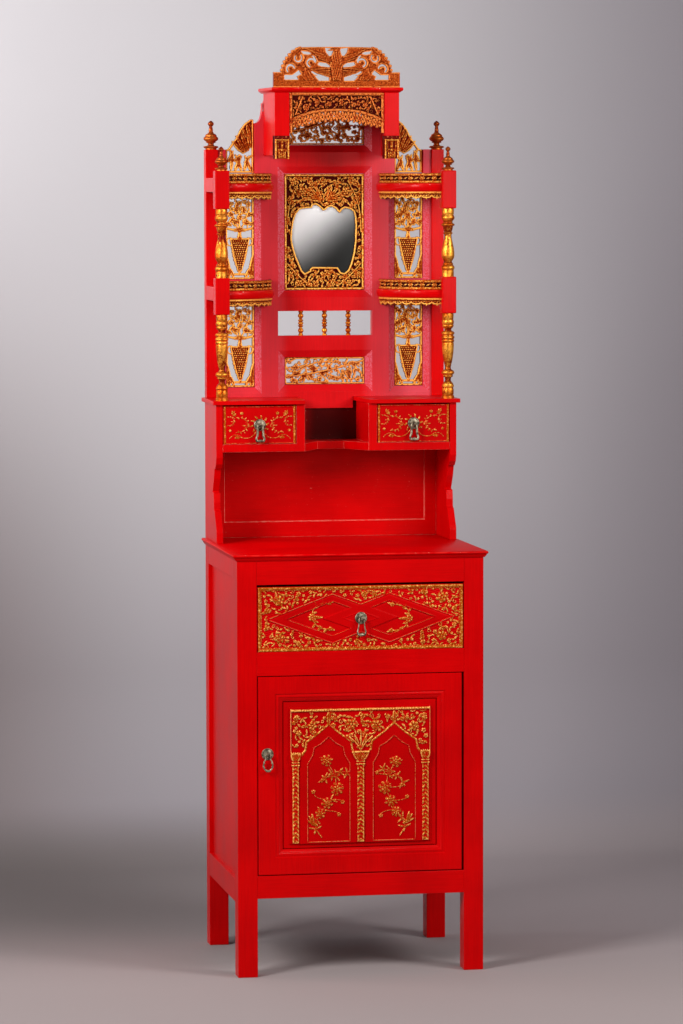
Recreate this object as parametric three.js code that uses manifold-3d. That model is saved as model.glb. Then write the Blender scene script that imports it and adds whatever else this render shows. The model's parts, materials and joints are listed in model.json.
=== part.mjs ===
// A red lacquered and gilded altar cabinet. A cupboard with one door and one drawer carries an
// open alcove, a pair of small drawers with a niche between them, and a tall pierced and carved
// back with a mirror, four quarter-round shelves, turned posts and a small canopy.
//
// Millimetres. X runs to the right, Y to the back and Z up. The origin is on the floor, under the
// middle of the cabinet's box, which reaches from the front pulls to the finials of the rear posts.

import * as THREE from 'three';
import { mergeVertices } from 'three/addons/utils/BufferGeometryUtils.js';
import Module from 'manifold-3d';

const wasm = await Module();
wasm.setup();

// Whole cabinet
const width = 540; // over the legs
const depth = 450; // over the legs
const clearance = 0.3; // between pieces that seat on or pass into each other
const overrun = 5; // how far a cutter runs past what it cuts

// Brass pulls
const plateRadius = 13;
const plateThickness = 2.5;
const eyeWidth = 5; // the eye that carries the bail
const eyeHeight = 9;
const eyeReach = 10.5; // how far the eye stands out of the plate
const wireRadius = 1.7;
const bailDrop = 38; // from the pivot to the bottom of the bail
const bailTopWidth = 11;
const bailWidth = 24;
const bailPlay = 0.5; // between the bail's wire and the eye's bore

const bailBarSteps = 2;
const bailRoundSteps = 10;
const wireSides = 6;
const discSegments = 8;

// Rear posts
const postWidth = 28;
const postDepth = 28;
const postHeight = 552;
const postFinialHeight = 64;
const postFinialRadius = 17;

const pullReach = plateThickness + eyeReach;
const finialOverhang = Math.max(0, postFinialRadius - postDepth / 2);
const rearY = (depth + pullReach - finialOverhang) / 2;
const frontY = rearY - depth;

// Legs and rails of the lower cabinet
const legSize = 43;
const footClear = 171; // floor to the front bottom rail
const sideFootClear = 160; // floor to the side and rear bottom rails
const bottomRailHeight = 49;
const doorOpeningHeight = 433.5;
const middleRailHeight = 51.5;
const drawerOpeningHeight = 145;
const topRailHeight = 52;
const railThickness = 26;
const sideRailThickness = 22;
const sideTopRailHeight = 40;
const sidePanelThickness = 8;
const sidePanelRecess = 8;
const tenonLength = 18;
const tenonThickness = 9;
const tenonShoulder = 7;

const bottomRailTop = footClear + bottomRailHeight;
const middleRailBottom = bottomRailTop + doorOpeningHeight;
const middleRailTop = middleRailBottom + middleRailHeight;
const topRailBottom = middleRailTop + drawerOpeningHeight;
const carcaseHeight = topRailBottom + topRailHeight;
const openingHalf = width / 2 - legSize;
const railBackY = frontY + railThickness;

// Boards inside and on top of the lower cabinet
const floorThickness = 10;
const drawerBoardThickness = 12;
const topThickness = 14;
const topOverhang = 9;
const topEdgeTaper = 8; // how far the moulded edge runs in on its way down

const tableZ = carcaseHeight + topThickness;
const sideInnerX = width / 2 - sidePanelRecess - sidePanelThickness;
const rearInnerY = rearY - sidePanelRecess - sidePanelThickness;

// Main drawer
const drawerSideGap = 2;
const drawerTopGap = 5;
const drawerFrontThickness = 20;
const drawerBoxWall = 12;
const drawerBoxBottom = 8;
const drawerBoxHeight = 125;
const drawerBackRoom = 35; // behind the closed box, to the backs of the rear legs
const drawerBoxLength = depth - drawerFrontThickness - drawerBackRoom;

// Door
const doorThickness = 22;
const doorPullGap = 2; // on the pull side
const doorHingeGap = 5; // on the pivot side
const doorEndGap = 2; // above and below
const doorStile = 38; // flat of the frame
const doorBevel = 16; // moulded slope round the panel
const doorBevelDepth = 7;
const doorRebate = 8;
const doorPanelThickness = 9;
const doorFieldMargin = 16;
const doorFieldHeight = 5; // how far the carved field stands off the panel
const pivotRadius = 4;
const pivotLength = 10;
const pivotInset = 8; // from the door's edge
const pivotSetback = 10; // from the door's face
const doorPullInset = 20; // from the pull edge to the pull's centre
const doorPullShare = 0.612; // of the door's height

// Alcove and small drawers
const unitDepth = 165;
const sideBoard = 15;
const alcoveHeight = 201.5; // table to the underside of the drawer unit
const unitFloorThickness = 17.5;
const unitOpeningHeight = 87;
const nicheHalf = 71.5;
const nicheWall = 19;
const floorNotchDepth = 78;
const floorNotchHalf = 30;
const alcoveBackThickness = 14;
const alcoveStile = 27;
const alcoveBottomRail = 35;
const alcovePanelRecess = 5;
const bracketRecess = 56; // deepest point of the scrolled front edge
const shelfTopThickness = 9;
const shelfTopOverhang = 7.5;
const shelfTopSplay = 9; // each inner edge runs this much towards the middle
const smallDrawerGap = 1.5;
const smallDrawerTopGap = 3;
const smallDrawerFront = 15;
const smallBoxWall = 8;
const smallBoxBottom = 5;
const smallBoxHeight = 70;
const smallBoxLength = 120;

const unitFrontY = rearY - unitDepth;
const unitFloorZ = tableZ + alcoveHeight;
const unitOpeningZ = unitFloorZ + unitFloorThickness;
const unitTopZ = unitOpeningZ + unitOpeningHeight;
const deckZ = unitTopZ + shelfTopThickness;
const alcoveBackY = rearY - alcoveBackThickness;
const sideBoardInner = width / 2 - sideBoard;

// Front columns, and the stretchers from them to the rear posts
const columnBlock = 32;
const columnDrop = 47; // from the top of the rear posts to the top of the columns' upper blocks
const lowerBlockHeight = 81;
const upperBlockHeight = 84;
const lowerTurningShare = 189 / 340; // of the height of both turnings
const columnFinialHeight = 53;
const turningRadius = 14;
const coreRadius = 5; // plain core that runs through a column from end to end
const turningSides = 12;
const stretcherThickness = 15;
const stretcherHeight = 31;
const stretcherDrop = 16; // from the top of the upper block to the stretcher's top
const lowerStretcherDrop = 20; // the same on the lower block

const turningsHeight = postHeight - columnDrop - lowerBlockHeight - upperBlockHeight;
const lowerTurningHeight = lowerTurningShare * turningsHeight;
const upperTurningHeight = turningsHeight - lowerTurningHeight;
const lowerBlockZ = deckZ + lowerTurningHeight;
const upperTurningZ = lowerBlockZ + lowerBlockHeight;
const upperBlockZ = upperTurningZ + upperTurningHeight;
const columnTopZ = upperBlockZ + upperBlockHeight;

// Back frame: rails from the bottom up, then the two wings
const frameThickness = 22;
const centreShare = 107 / 540; // half of the opening between the middle stiles, of the width
const centreStileShare = 34 / 540;
const apronDrop = 26; // how far the bottom rail hangs between the two tops
const bottomRailRise = 11; // bottom rail above the tops
const lowerRecessHeight = 93;
const windowRailHeight = 33;
const windowHeight = 55;
const mirrorRailHeight = 30;
const canopyRailDrop = 38; // from the top of the rear posts to the underside of the canopy rail
const canopyRailHeight = 32;
const canopyRecessHeight = 130;
const bevel = 16; // moulded slope round each pierced panel
const bevelDepth = 8;
const wingMargin = 4; // flat of the wing beside the bevel
const wingBevel = 14;
const crestDrop = 53; // from the top of the rear posts to the foot of the wing crests
const wingBottomRail = 8;
const wingMiddleRail = 28;
const wingTopRail = 37;
const wingEarRise = 66; // inner wing stile above the outer one
const wingScrollRise = 45;
const fretThickness = 7;
const fretBorder = 5;
const mirrorThickness = 3;
const spindleRadius = 6;
const spindleSpacing = 54;

const centreHalf = centreShare * width;
const centreStile = centreStileShare * width;
const frameFrontY = rearY - frameThickness;
const lowerRecessZ = deckZ + bottomRailRise;
const windowRailZ = lowerRecessZ + lowerRecessHeight;
const windowZ = windowRailZ + windowRailHeight;
const mirrorRailZ = windowZ + windowHeight;
const mirrorRecessZ = mirrorRailZ + mirrorRailHeight;
const canopyRailZ = deckZ + postHeight - canopyRailDrop;
const canopyRecessZ = canopyRailZ + canopyRailHeight;
const canopyTopZ = canopyRecessZ + canopyRecessHeight;
const wingInnerX = centreHalf + centreStile;
const wingOuterX = width / 2 - postWidth;
const crestZ = deckZ + postHeight - crestDrop;
const wingTopRailZ = crestZ - wingTopRail;
const wingPanelsHeight = wingTopRailZ - deckZ - wingBottomRail - wingMiddleRail - 4 * wingBevel;
const wingPanelHeight = wingPanelsHeight / 2;
const wingLowerZ = deckZ + wingBottomRail + wingBevel;
const wingMiddleRailZ = wingLowerZ + wingPanelHeight + wingBevel;
const wingUpperZ = wingMiddleRailZ + wingMiddleRail + wingBevel;
const wingPanelInner = wingInnerX + wingMargin + wingBevel;
const wingPanelOuter = wingOuterX - wingMargin - wingBevel;

// Quarter-round shelves
const shelfReach = 137; // along the back, from the side stretcher
const shelfProjection = 135; // forward of the back frame
const shelfThickness = 20;
const galleryHeight = 22;
const galleryThickness = 5;
const galleryInset = 5;
const galleryRail = 4;
const galleryOpenings = 5;
const galleryGapShares = [0.3, 0.9]; // where each opening starts and ends in its share of the curve
const shelfApron = 15;
const upperShelfDrop = 5; // from the wing's top rail to the underside of the upper shelf
const shelfSteps = 12;

// Canopy and crest
const canopyHalf = 139;
const canopyDepth = 175;
const canopyBoard = 12;
const canopyStile = 33;
const canopyFrontDrop = 95; // front boards below the cornice
const canopySideDrop = 138; // side boards below the cornice
const dropHeight = 50; // gilt pendants under the front boards
const dropDepth = 26;
const corniceThickness = 11;
const corniceOverhang = 8;
const archDrop = 37; // crown of the arch below the cornice
const archEndDrop = 56;
const archPanelHeight = 88;
const canopyBorder = 6;
const crestHalf = 141;
const crestHeight = 89;
const crestThickness = 12;
const crestRail = 16;
const crestBlockWidth = 21;
const crestBlockHeight = 37;
const crestBand = 9;
const crestSegments = 5;
const crestFlatShare = 0.59; // flat top of the arched band, of its width
const wingCrestHeight = 120;

const canopyFrontY = rearY - canopyDepth;
const corniceTopZ = canopyTopZ + corniceThickness;

// Finishes
const finishes = {
  lacquer: { color: 0xc8100c, roughness: 0.35, metalness: 0 },
  gilt: { color: 0xc98a1c, roughness: 0.42, metalness: 0.6 },
  oldGilt: { color: 0xb5581a, roughness: 0.55, metalness: 0.3 },
  brass: { color: 0x6e6a4c, roughness: 0.5, metalness: 0.8 },
  glass: { color: 0xc9cfd2, roughness: 0.05, metalness: 1 },
  bareWood: { color: 0x6b3a22, roughness: 0.75, metalness: 0 },
};

const cabinet = new THREE.Group();

// Adds one named piece
function add(name, body, finish) {
  const { vertProperties, triVerts } = body.getMesh();
  const geometry = new THREE.BufferGeometry();
  geometry.setAttribute('position', new THREE.BufferAttribute(vertProperties, 3));
  geometry.setIndex(new THREE.BufferAttribute(triVerts, 1));
  geometry.computeVertexNormals();
  const mesh = new THREE.Mesh(geometry, new THREE.MeshStandardMaterial(finishes[finish]));
  mesh.name = name;
  cabinet.add(mesh);
}

// Turns a three.js geometry into a solid that can be cut and joined
function solid(geometry) {
  geometry.deleteAttribute('normal');
  geometry.deleteAttribute('uv');
  const merged = mergeVertices(geometry);
  const index = merged.index.array;
  const faces = [];
  for (let i = 0; i < index.length; i += 3) {
    const [a, b, c] = index.slice(i, i + 3);
    if (a !== b && b !== c && c !== a) faces.push(a, b, c);
  }
  return new wasm.Manifold(new wasm.Mesh({
    numProp: 3,
    vertProperties: new Float32Array(merged.attributes.position.array),
    triVerts: new Uint32Array(faces),
  }));
}

function joined(bodies) {
  return bodies.reduce((whole, body) => whole.add(body));
}

function cutAway(body, cutters) {
  return cutters.reduce((rest, cutter) => rest.subtract(cutter), body);
}

// A rectangular block between two limits on each axis
function block([x0, x1], [y0, y1], [z0, z1]) {
  const geometry = new THREE.BoxGeometry(x1 - x0, y1 - y0, z1 - z0);
  geometry.translate((x0 + x1) / 2, (y0 + y1) / 2, (z0 + z1) / 2);
  return solid(geometry);
}

// The same span on the right (side 1) or mirrored to the left (side -1)
function onSide(side, [low, high]) {
  return side > 0 ? [low, high] : [-high, -low];
}

const across = new THREE.Vector3(1, 0, 0);
const back = new THREE.Vector3(0, 1, 0);
const up = new THREE.Vector3(0, 0, 1);
const forward = new THREE.Vector3(0, -1, 0);
const planes = {
  front: new THREE.Matrix4().makeBasis(across, up, forward),
  side: new THREE.Matrix4().makeBasis(back, up, across),
  top: new THREE.Matrix4().makeBasis(across, back, up),
};

// Extrudes a shape drawn in the front (x, z), side (y, z) or top (x, y) plane between two limits
function prism(plane, shape, [from, to], curveSegments = 6) {
  const geometry = new THREE.ExtrudeGeometry(shape, { depth: to - from, bevelEnabled: false, curveSegments });
  geometry.applyMatrix4(planes[plane]);
  if (plane === 'front') geometry.translate(0, to, 0);
  if (plane === 'side') geometry.translate(from, 0, 0);
  if (plane === 'top') geometry.translate(0, 0, from);
  return solid(geometry);
}

// A closed outline, always taken anticlockwise so that holes in it cut through
function polygon(points) {
  const corners = points.map(([u, v]) => new THREE.Vector2(u, v));
  return new THREE.Shape(THREE.ShapeUtils.isClockWise(corners) ? corners.reverse() : corners);
}

// A turned piece on a vertical axis. The profile lists [radius, height] from the bottom up.
function turned(profile, [x, y], z, sides = turningSides) {
  const points = [[0, profile[0][1]], ...profile, [0, profile[profile.length - 1][1]]];
  const geometry = new THREE.LatheGeometry(points.map(([r, h]) => new THREE.Vector2(r, h)), sides);
  geometry.rotateX(Math.PI / 2);
  geometry.translate(x, y, z);
  return solid(geometry);
}

// A hole whose front is wider than its back by the bevel all round
function bevelledHole([x0, x1], [z0, z1], faceY, slope, slopeDepth, backY) {
  const geometry = new THREE.BoxGeometry(x1 - x0, slopeDepth, z1 - z0);
  geometry.translate((x0 + x1) / 2, faceY + slopeDepth / 2, (z0 + z1) / 2);
  const position = geometry.attributes.position;
  const middleX = (x0 + x1) / 2;
  const middleZ = (z0 + z1) / 2;
  for (let i = 0; i < position.count; i += 1) {
    if (position.getY(i) < faceY + slopeDepth / 2) {
      position.setX(i, position.getX(i) + slope * Math.sign(position.getX(i) - middleX));
      position.setZ(i, position.getZ(i) + slope * Math.sign(position.getZ(i) - middleZ));
    }
  }
  const mouth = block([x0 - slope, x1 + slope], [faceY - overrun, faceY], [z0 - slope, z1 + slope]);
  const through = block([x0, x1], [faceY + slopeDepth, backY + overrun], [z0, z1]);
  return joined([solid(geometry), mouth, through]);
}

// Legs, rails and panels of the lower cabinet. Each rail has a tenon at both ends.
const betweenLegsX = [-openingHalf, openingHalf];
const betweenLegsY = [frontY + legSize, rearY - legSize];
const frontRail = (z) => ({ x: betweenLegsX, y: [frontY, railBackY], z, along: 'x' });
const frontRails = {
  bottom: frontRail([footClear, bottomRailTop]),
  middle: frontRail([middleRailBottom, middleRailTop]),
  top: frontRail([topRailBottom, carcaseHeight]),
};
const sideRailZ = {
  bottom: [sideFootClear, bottomRailTop - floorThickness],
  top: [carcaseHeight - sideTopRailHeight, carcaseHeight],
};
const rearRails = Object.values(sideRailZ).map((z) => ({
  x: betweenLegsX, y: [rearY - sideRailThickness, rearY], z, along: 'x',
}));
const sideRails = (side) => Object.values(sideRailZ).map((z) => ({
  x: onSide(side, [width / 2 - sideRailThickness, width / 2]), y: betweenLegsY, z, along: 'y',
}));

// The tenons of a rail, or their mortises when they are grown by a clearance
function tenons(rail, growth) {
  const span = ([low, high], change) => [low - change, high + change];
  const thin = ([low, high]) => {
    const middle = (low + high) / 2;
    return span([middle, middle], tenonThickness / 2 + growth);
  };
  const end = tenonLength + growth;
  const x = rail.along === 'x' ? span(rail.x, end) : thin(rail.x);
  const y = rail.along === 'y' ? span(rail.y, end) : thin(rail.y);
  return block(x, y, span(rail.z, growth - tenonShoulder));
}

function railBody(rail) {
  return block(rail.x, rail.y, rail.z).add(tenons(rail, 0));
}

const allRails = [...Object.values(frontRails), ...rearRails, ...sideRails(1), ...sideRails(-1)];
const legY = { front: [frontY, frontY + legSize], rear: [rearY - legSize, rearY] };
for (const [sideName, side] of [['left', -1], ['right', 1]]) {
  const x = onSide(side, [openingHalf, width / 2]);
  for (const end of ['front', 'rear']) {
    const mortises = allRails.map((rail) => tenons(rail, clearance));
    add(`${end}_${sideName}_leg`, cutAway(block(x, legY[end], [0, carcaseHeight]), mortises), 'lacquer');
  }
  const panelX = onSide(side, [sideInnerX, sideInnerX + sidePanelThickness]);
  const panel = block(panelX, betweenLegsY, [sideRailZ.bottom[0], carcaseHeight]);
  add(`${sideName}_side_panel`, joined([panel, ...sideRails(side).map(railBody)]), 'lacquer');
}
const rearPanelY = [rearInnerY, rearInnerY + sidePanelThickness];
const rearPanel = block(betweenLegsX, rearPanelY, [sideRailZ.bottom[0], carcaseHeight]);
add('rear_panel', joined([rearPanel, ...rearRails.map(railBody)]), 'lacquer');

// The door turns on two wooden pivots in the bottom and middle rails
const doorX = [-openingHalf + doorPullGap, openingHalf - doorHingeGap];
const doorZ = [bottomRailTop + doorEndGap, middleRailBottom - doorEndGap];
const pivot = { x: doorX[1] - pivotInset, y: frontY + pivotSetback };

function pivotPin(z0, z1, growth) {
  const radius = pivotRadius + growth;
  return turned([[radius, z0], [radius, z1]], [pivot.x, pivot.y], 0, turningSides * 2);
}
const socketDepth = pivotLength + clearance;
const lowerSocket = pivotPin(bottomRailTop - socketDepth, bottomRailTop + overrun, clearance);
const upperSocket = pivotPin(middleRailBottom - overrun, middleRailBottom + socketDepth, clearance);
add('front_bottom_rail', railBody(frontRails.bottom).subtract(lowerSocket), 'lacquer');
add('front_middle_rail', railBody(frontRails.middle).subtract(upperSocket), 'lacquer');
add('front_top_rail', railBody(frontRails.top), 'lacquer');

// Boards that fill the lower cabinet from side to side, notched round the legs
function notchedBoard(z) {
  const notches = [];
  for (const side of [1, -1]) {
    for (const y of Object.values(legY)) {
      notches.push(block(
        onSide(side, [openingHalf - clearance, width / 2]),
        [y[0] - clearance, y[1] + clearance],
        [z[0] - overrun, z[1] + overrun],
      ));
    }
  }
  return cutAway(block([-sideInnerX, sideInnerX], [railBackY, rearInnerY], z), notches);
}
add('cupboard_floor', notchedBoard([bottomRailTop - floorThickness, bottomRailTop]), 'bareWood');
add('drawer_board', notchedBoard([middleRailTop - drawerBoardThickness, middleRailTop]), 'bareWood');

// A board whose front and side edges are moulded: full width above, running in below
function mouldedBoard(halfWidth, y, z, taper) {
  const geometry = new THREE.BoxGeometry(2 * halfWidth, y[1] - y[0], z[1] - z[0]);
  const position = geometry.attributes.position;
  for (let i = 0; i < position.count; i += 1) {
    if (position.getZ(i) < 0) {
      position.setX(i, position.getX(i) - taper * Math.sign(position.getX(i)));
      if (position.getY(i) < 0) position.setY(i, position.getY(i) + taper);
    }
  }
  geometry.translate(0, (y[0] + y[1]) / 2, (z[0] + z[1]) / 2);
  return solid(geometry);
}
const topY = [frontY - topOverhang, rearY];
const topEdge = Math.min(topEdgeTaper, topOverhang);
add('base_top', mouldedBoard(width / 2 + topOverhang, topY, [carcaseHeight, tableZ], topEdge), 'lacquer');

// An open-topped drawer box behind a front
function drawerBox(x, [y0, y1], [z0, z1], wall, bottom) {
  const inside = block([x[0] + wall, x[1] - wall], [y0 + wall, y1 - wall], [z0 + bottom, z1 + overrun]);
  return block(x, [y0, y1], [z0, z1]).subtract(inside);
}

// A round plate with an eye, and the bail that hangs in the eye. The face points forward.
function pullPlate(x, faceY, z) {
  const disc = new THREE.Shape().absarc(x, z, plateRadius, 0, 2 * Math.PI);
  const eyeY = faceY - plateThickness - eyeReach;
  const eyeZ = [z - eyeHeight / 2, z + eyeHeight / 2];
  const eye = block([x - eyeWidth / 2, x + eyeWidth / 2], [eyeY, faceY], eyeZ);
  const bore = new THREE.Shape().absarc(eyeY + eyeHeight / 2, z, wireRadius + bailPlay, 0, 2 * Math.PI);
  const plate = prism('front', disc, [faceY - plateThickness, faceY], discSegments).add(eye);
  return plate.subtract(prism('side', bore, [x - eyeWidth, x + eyeWidth]));
}

// The bail's wire: a straight bar through the eye, sides that spread, and a round bottom
function bail(x, faceY, z) {
  const bottomRadius = bailWidth / 2 - wireRadius;
  const bottomZ = z - bailDrop + bailWidth / 2;
  const barHalf = bailTopWidth / 2;
  const path = [];
  for (let i = 0; i <= bailBarSteps; i += 1) {
    path.push([x - barHalf + (bailTopWidth * i) / bailBarSteps, z]);
  }
  for (let i = 0; i <= bailRoundSteps; i += 1) {
    const angle = -(Math.PI * i) / bailRoundSteps;
    path.push([x + bottomRadius * Math.cos(angle), bottomZ + bottomRadius * Math.sin(angle)]);
  }
  const wireY = faceY - plateThickness - eyeReach + eyeHeight / 2;
  const positions = [];
  const indices = [];
  path.forEach(([px, pz], i) => {
    const before = path[(i + path.length - 1) % path.length];
    const after = path[(i + 1) % path.length];
    const tangent = new THREE.Vector2(after[0] - before[0], after[1] - before[1]).normalize();
    for (let k = 0; k < wireSides; k += 1) {
      const turn = (2 * Math.PI * k) / wireSides;
      const out = wireRadius * Math.cos(turn);
      positions.push(px - tangent.y * out, wireY + wireRadius * Math.sin(turn), pz + tangent.x * out);
      const here = i * wireSides;
      const next = ((i + 1) % path.length) * wireSides;
      const k1 = (k + 1) % wireSides;
      indices.push(here + k, next + k, here + k1, here + k1, next + k, next + k1);
    }
  });
  const geometry = new THREE.BufferGeometry();
  geometry.setAttribute('position', new THREE.Float32BufferAttribute(positions, 3));
  geometry.setIndex(indices);
  return solid(geometry);
}

function addPull(prefix, x, faceY, z) {
  add(`${prefix}_backplate`, pullPlate(x, faceY, z), 'brass');
  add(`${prefix}_bail`, bail(x, faceY, z), 'brass');
}

// Main drawer
const drawerX = [-openingHalf + drawerSideGap, openingHalf - drawerSideGap];
const drawerZ = [middleRailTop + clearance, topRailBottom - drawerTopGap];
const drawerBackY = frontY + drawerFrontThickness;
add('main_drawer_front', block(drawerX, [frontY, drawerBackY], drawerZ), 'lacquer');
add('main_drawer_box', drawerBox(
  drawerX, [drawerBackY, drawerBackY + drawerBoxLength], [drawerZ[0], drawerZ[0] + drawerBoxHeight],
  drawerBoxWall, drawerBoxBottom,
), 'bareWood');
addPull('main_drawer', 0, frontY, (drawerZ[0] + drawerZ[1]) / 2);

// Door frame, with its panel let in from the back
const frameEdge = doorStile + doorBevel;
const holeX = [doorX[0] + frameEdge, doorX[1] - frameEdge];
const holeZ = [doorZ[0] + frameEdge, doorZ[1] - frameEdge];
const doorBackY = frontY + doorThickness;
const rebateX = [holeX[0] - doorRebate, holeX[1] + doorRebate];
const rebateZ = [holeZ[0] - doorRebate, holeZ[1] + doorRebate];
const rebateY = frontY + doorBevelDepth;
const doorFrame = cutAway(block(doorX, [frontY, doorBackY], doorZ), [
  bevelledHole(holeX, holeZ, frontY, doorBevel, doorBevelDepth, doorBackY),
  block(rebateX, [rebateY + clearance, doorBackY + overrun], rebateZ),
]);
add('door_frame', joined([
  doorFrame,
  pivotPin(doorZ[0] - doorEndGap - pivotLength, doorZ[0] + overrun, 0),
  pivotPin(doorZ[1] - overrun, doorZ[1] + doorEndGap + pivotLength, 0),
]), 'lacquer');
const panelSpan = ([low, high]) => [low + clearance, high - clearance];
const fieldSpan = ([low, high]) => [low + doorFieldMargin, high - doorFieldMargin];
const doorPanelY = rebateY + 2 * clearance;
const doorPanelBackY = doorPanelY + doorPanelThickness;
const doorField = block(fieldSpan(holeX), [doorPanelY - doorFieldHeight, doorPanelBackY], fieldSpan(holeZ));
const doorPanel = block(panelSpan(rebateX), [doorPanelY, doorPanelBackY], panelSpan(rebateZ)).add(doorField);
add('door_panel', doorPanel, 'lacquer');
addPull('door', doorX[0] + doorPullInset, frontY, doorZ[0] + doorPullShare * (doorZ[1] - doorZ[0]));

// Alcove: two side boards with a scrolled front edge, and a framed back
const bracketShares = {
  // share of the alcove's height, share of the recess, from the top down
  upper: [[0.94, 0], [0.87, 0.1], [0.82, 0.3], [0.81, 0.48], [0.7, 0.64], [0.6, 0.88], [0.55, 1]],
  lower: [[0.54, 0.72], [0.44, 0.66], [0.36, 0.66], [0.34, 0.48], [0.24, 0.26], [0.16, 0.06], [0.12, 0]],
};
const bracketOutline = polygon([
  [rearY, tableZ], [rearY, unitTopZ], [unitFrontY, unitTopZ],
  ...[...bracketShares.upper, ...bracketShares.lower].map(([heightShare, recessShare]) => [
    unitFrontY + bracketRecess * recessShare, tableZ + alcoveHeight * heightShare,
  ]),
  [unitFrontY, tableZ],
]);
for (const [sideName, side] of [['left', -1], ['right', 1]]) {
  const x = onSide(side, [sideBoardInner, width / 2]);
  add(`${sideName}_bracket_side`, prism('side', bracketOutline, x), 'lacquer');
}
const apronHalf = nicheHalf - shelfTopSplay;
const apronZ = deckZ - apronDrop;
const alcovePanelX = sideBoardInner - alcoveStile;
const betweenSidesX = [-sideBoardInner, sideBoardInner];
const alcoveBack = cutAway(block(betweenSidesX, [alcoveBackY, rearY], [tableZ, unitTopZ]), [
  block([-apronHalf, apronHalf], [alcoveBackY - overrun, rearY + overrun], [apronZ, unitTopZ + overrun]),
  block([-alcovePanelX, alcovePanelX], [alcoveBackY - overrun, alcoveBackY + alcovePanelRecess],
    [tableZ + alcoveBottomRail, unitFloorZ]),
]);
add('alcove_back', alcoveBack, 'lacquer');

// Floor of the drawer unit with the two walls of the niche. Its front edge steps back in the middle.
const notch = polygon([
  [-nicheHalf, unitFrontY - overrun], [nicheHalf, unitFrontY - overrun], [nicheHalf, unitFrontY],
  [floorNotchHalf, unitFrontY + floorNotchDepth], [-floorNotchHalf, unitFrontY + floorNotchDepth],
  [-nicheHalf, unitFrontY],
]);
const nicheWalls = [1, -1].map((side) => block(
  onSide(side, [nicheHalf, nicheHalf + nicheWall]), [unitFrontY, alcoveBackY], [unitFloorZ, unitTopZ],
));
const unitFloor = block(betweenSidesX, [unitFrontY, alcoveBackY], [unitFloorZ, unitOpeningZ])
  .subtract(prism('top', notch, [unitFloorZ - overrun, unitOpeningZ + overrun]));
add('drawer_unit_floor', joined([unitFloor, ...nicheWalls]), 'lacquer');

for (const [sideName, side] of [['left', -1], ['right', 1]]) {
  // Top board of each drawer, splayed towards the niche
  const deckOuterX = side * (width / 2 + shelfTopOverhang);
  const deckFrontY = unitFrontY - shelfTopOverhang;
  const deckOutline = polygon([
    [side * nicheHalf, deckFrontY], [deckOuterX, deckFrontY], [deckOuterX, rearY],
    [side * (apronHalf + clearance), rearY],
  ]);
  add(`${sideName}_unit_top`, prism('top', deckOutline, [unitTopZ, deckZ]), 'lacquer');

  const drawerSpan = [nicheHalf + nicheWall + smallDrawerGap, sideBoardInner - smallDrawerGap];
  const x = onSide(side, drawerSpan);
  const z0 = unitOpeningZ + clearance;
  const z1 = unitTopZ - smallDrawerTopGap;
  const faceBackY = unitFrontY + smallDrawerFront;
  add(`${sideName}_drawer_front`, block(x, [unitFrontY, faceBackY], [z0, z1]), 'lacquer');
  add(`${sideName}_drawer_box`, drawerBox(
    x, [faceBackY, faceBackY + smallBoxLength], [z0, z0 + smallBoxHeight], smallBoxWall, smallBoxBottom,
  ), 'bareWood');
  addPull(`${sideName}_drawer`, (x[0] + x[1]) / 2, unitFrontY, (z0 + z1) / 2);
}

// Profiles of the turnings, as shares of the radius and of the height, from the bottom up
const profileShares = {
  lowerTurning: [
    [0.92, 0], [0.92, 0.05], [0.72, 0.09], [0.95, 0.14], [0.95, 0.17], [0.6, 0.22], [0.85, 0.28],
    [0.55, 0.33], [0.62, 0.4], [0.85, 0.55], [0.92, 0.66], [0.86, 0.74], [1, 0.77], [0.78, 0.82],
    [1, 0.88], [0.8, 0.94], [0.95, 1],
  ],
  upperTurning: [
    [0.95, 0], [0.95, 0.05], [0.7, 0.1], [0.92, 0.17], [0.98, 0.24], [0.85, 0.33], [0.62, 0.46],
    [0.55, 0.6], [0.92, 0.68], [0.65, 0.73], [0.8, 0.8], [1, 0.86], [0.85, 0.92], [0.95, 1],
  ],
  finial: [
    [0.7, 0], [0.7, 0.08], [0.42, 0.17], [0.85, 0.28], [1, 0.38], [0.8, 0.48], [0.35, 0.58],
    [0.22, 0.72], [0.45, 0.88], [0.25, 1],
  ],
  spindle: [
    [0.7, 0], [0.7, 0.08], [0.45, 0.14], [0.95, 0.27], [0.5, 0.36], [1, 0.5], [0.5, 0.64],
    [0.95, 0.73], [0.45, 0.86], [0.7, 0.92], [0.7, 1],
  ],
};

function turning(name, radius, height, place, z) {
  return turned(profileShares[name].map(([r, h]) => [r * radius, h * height]), place, z);
}

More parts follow.
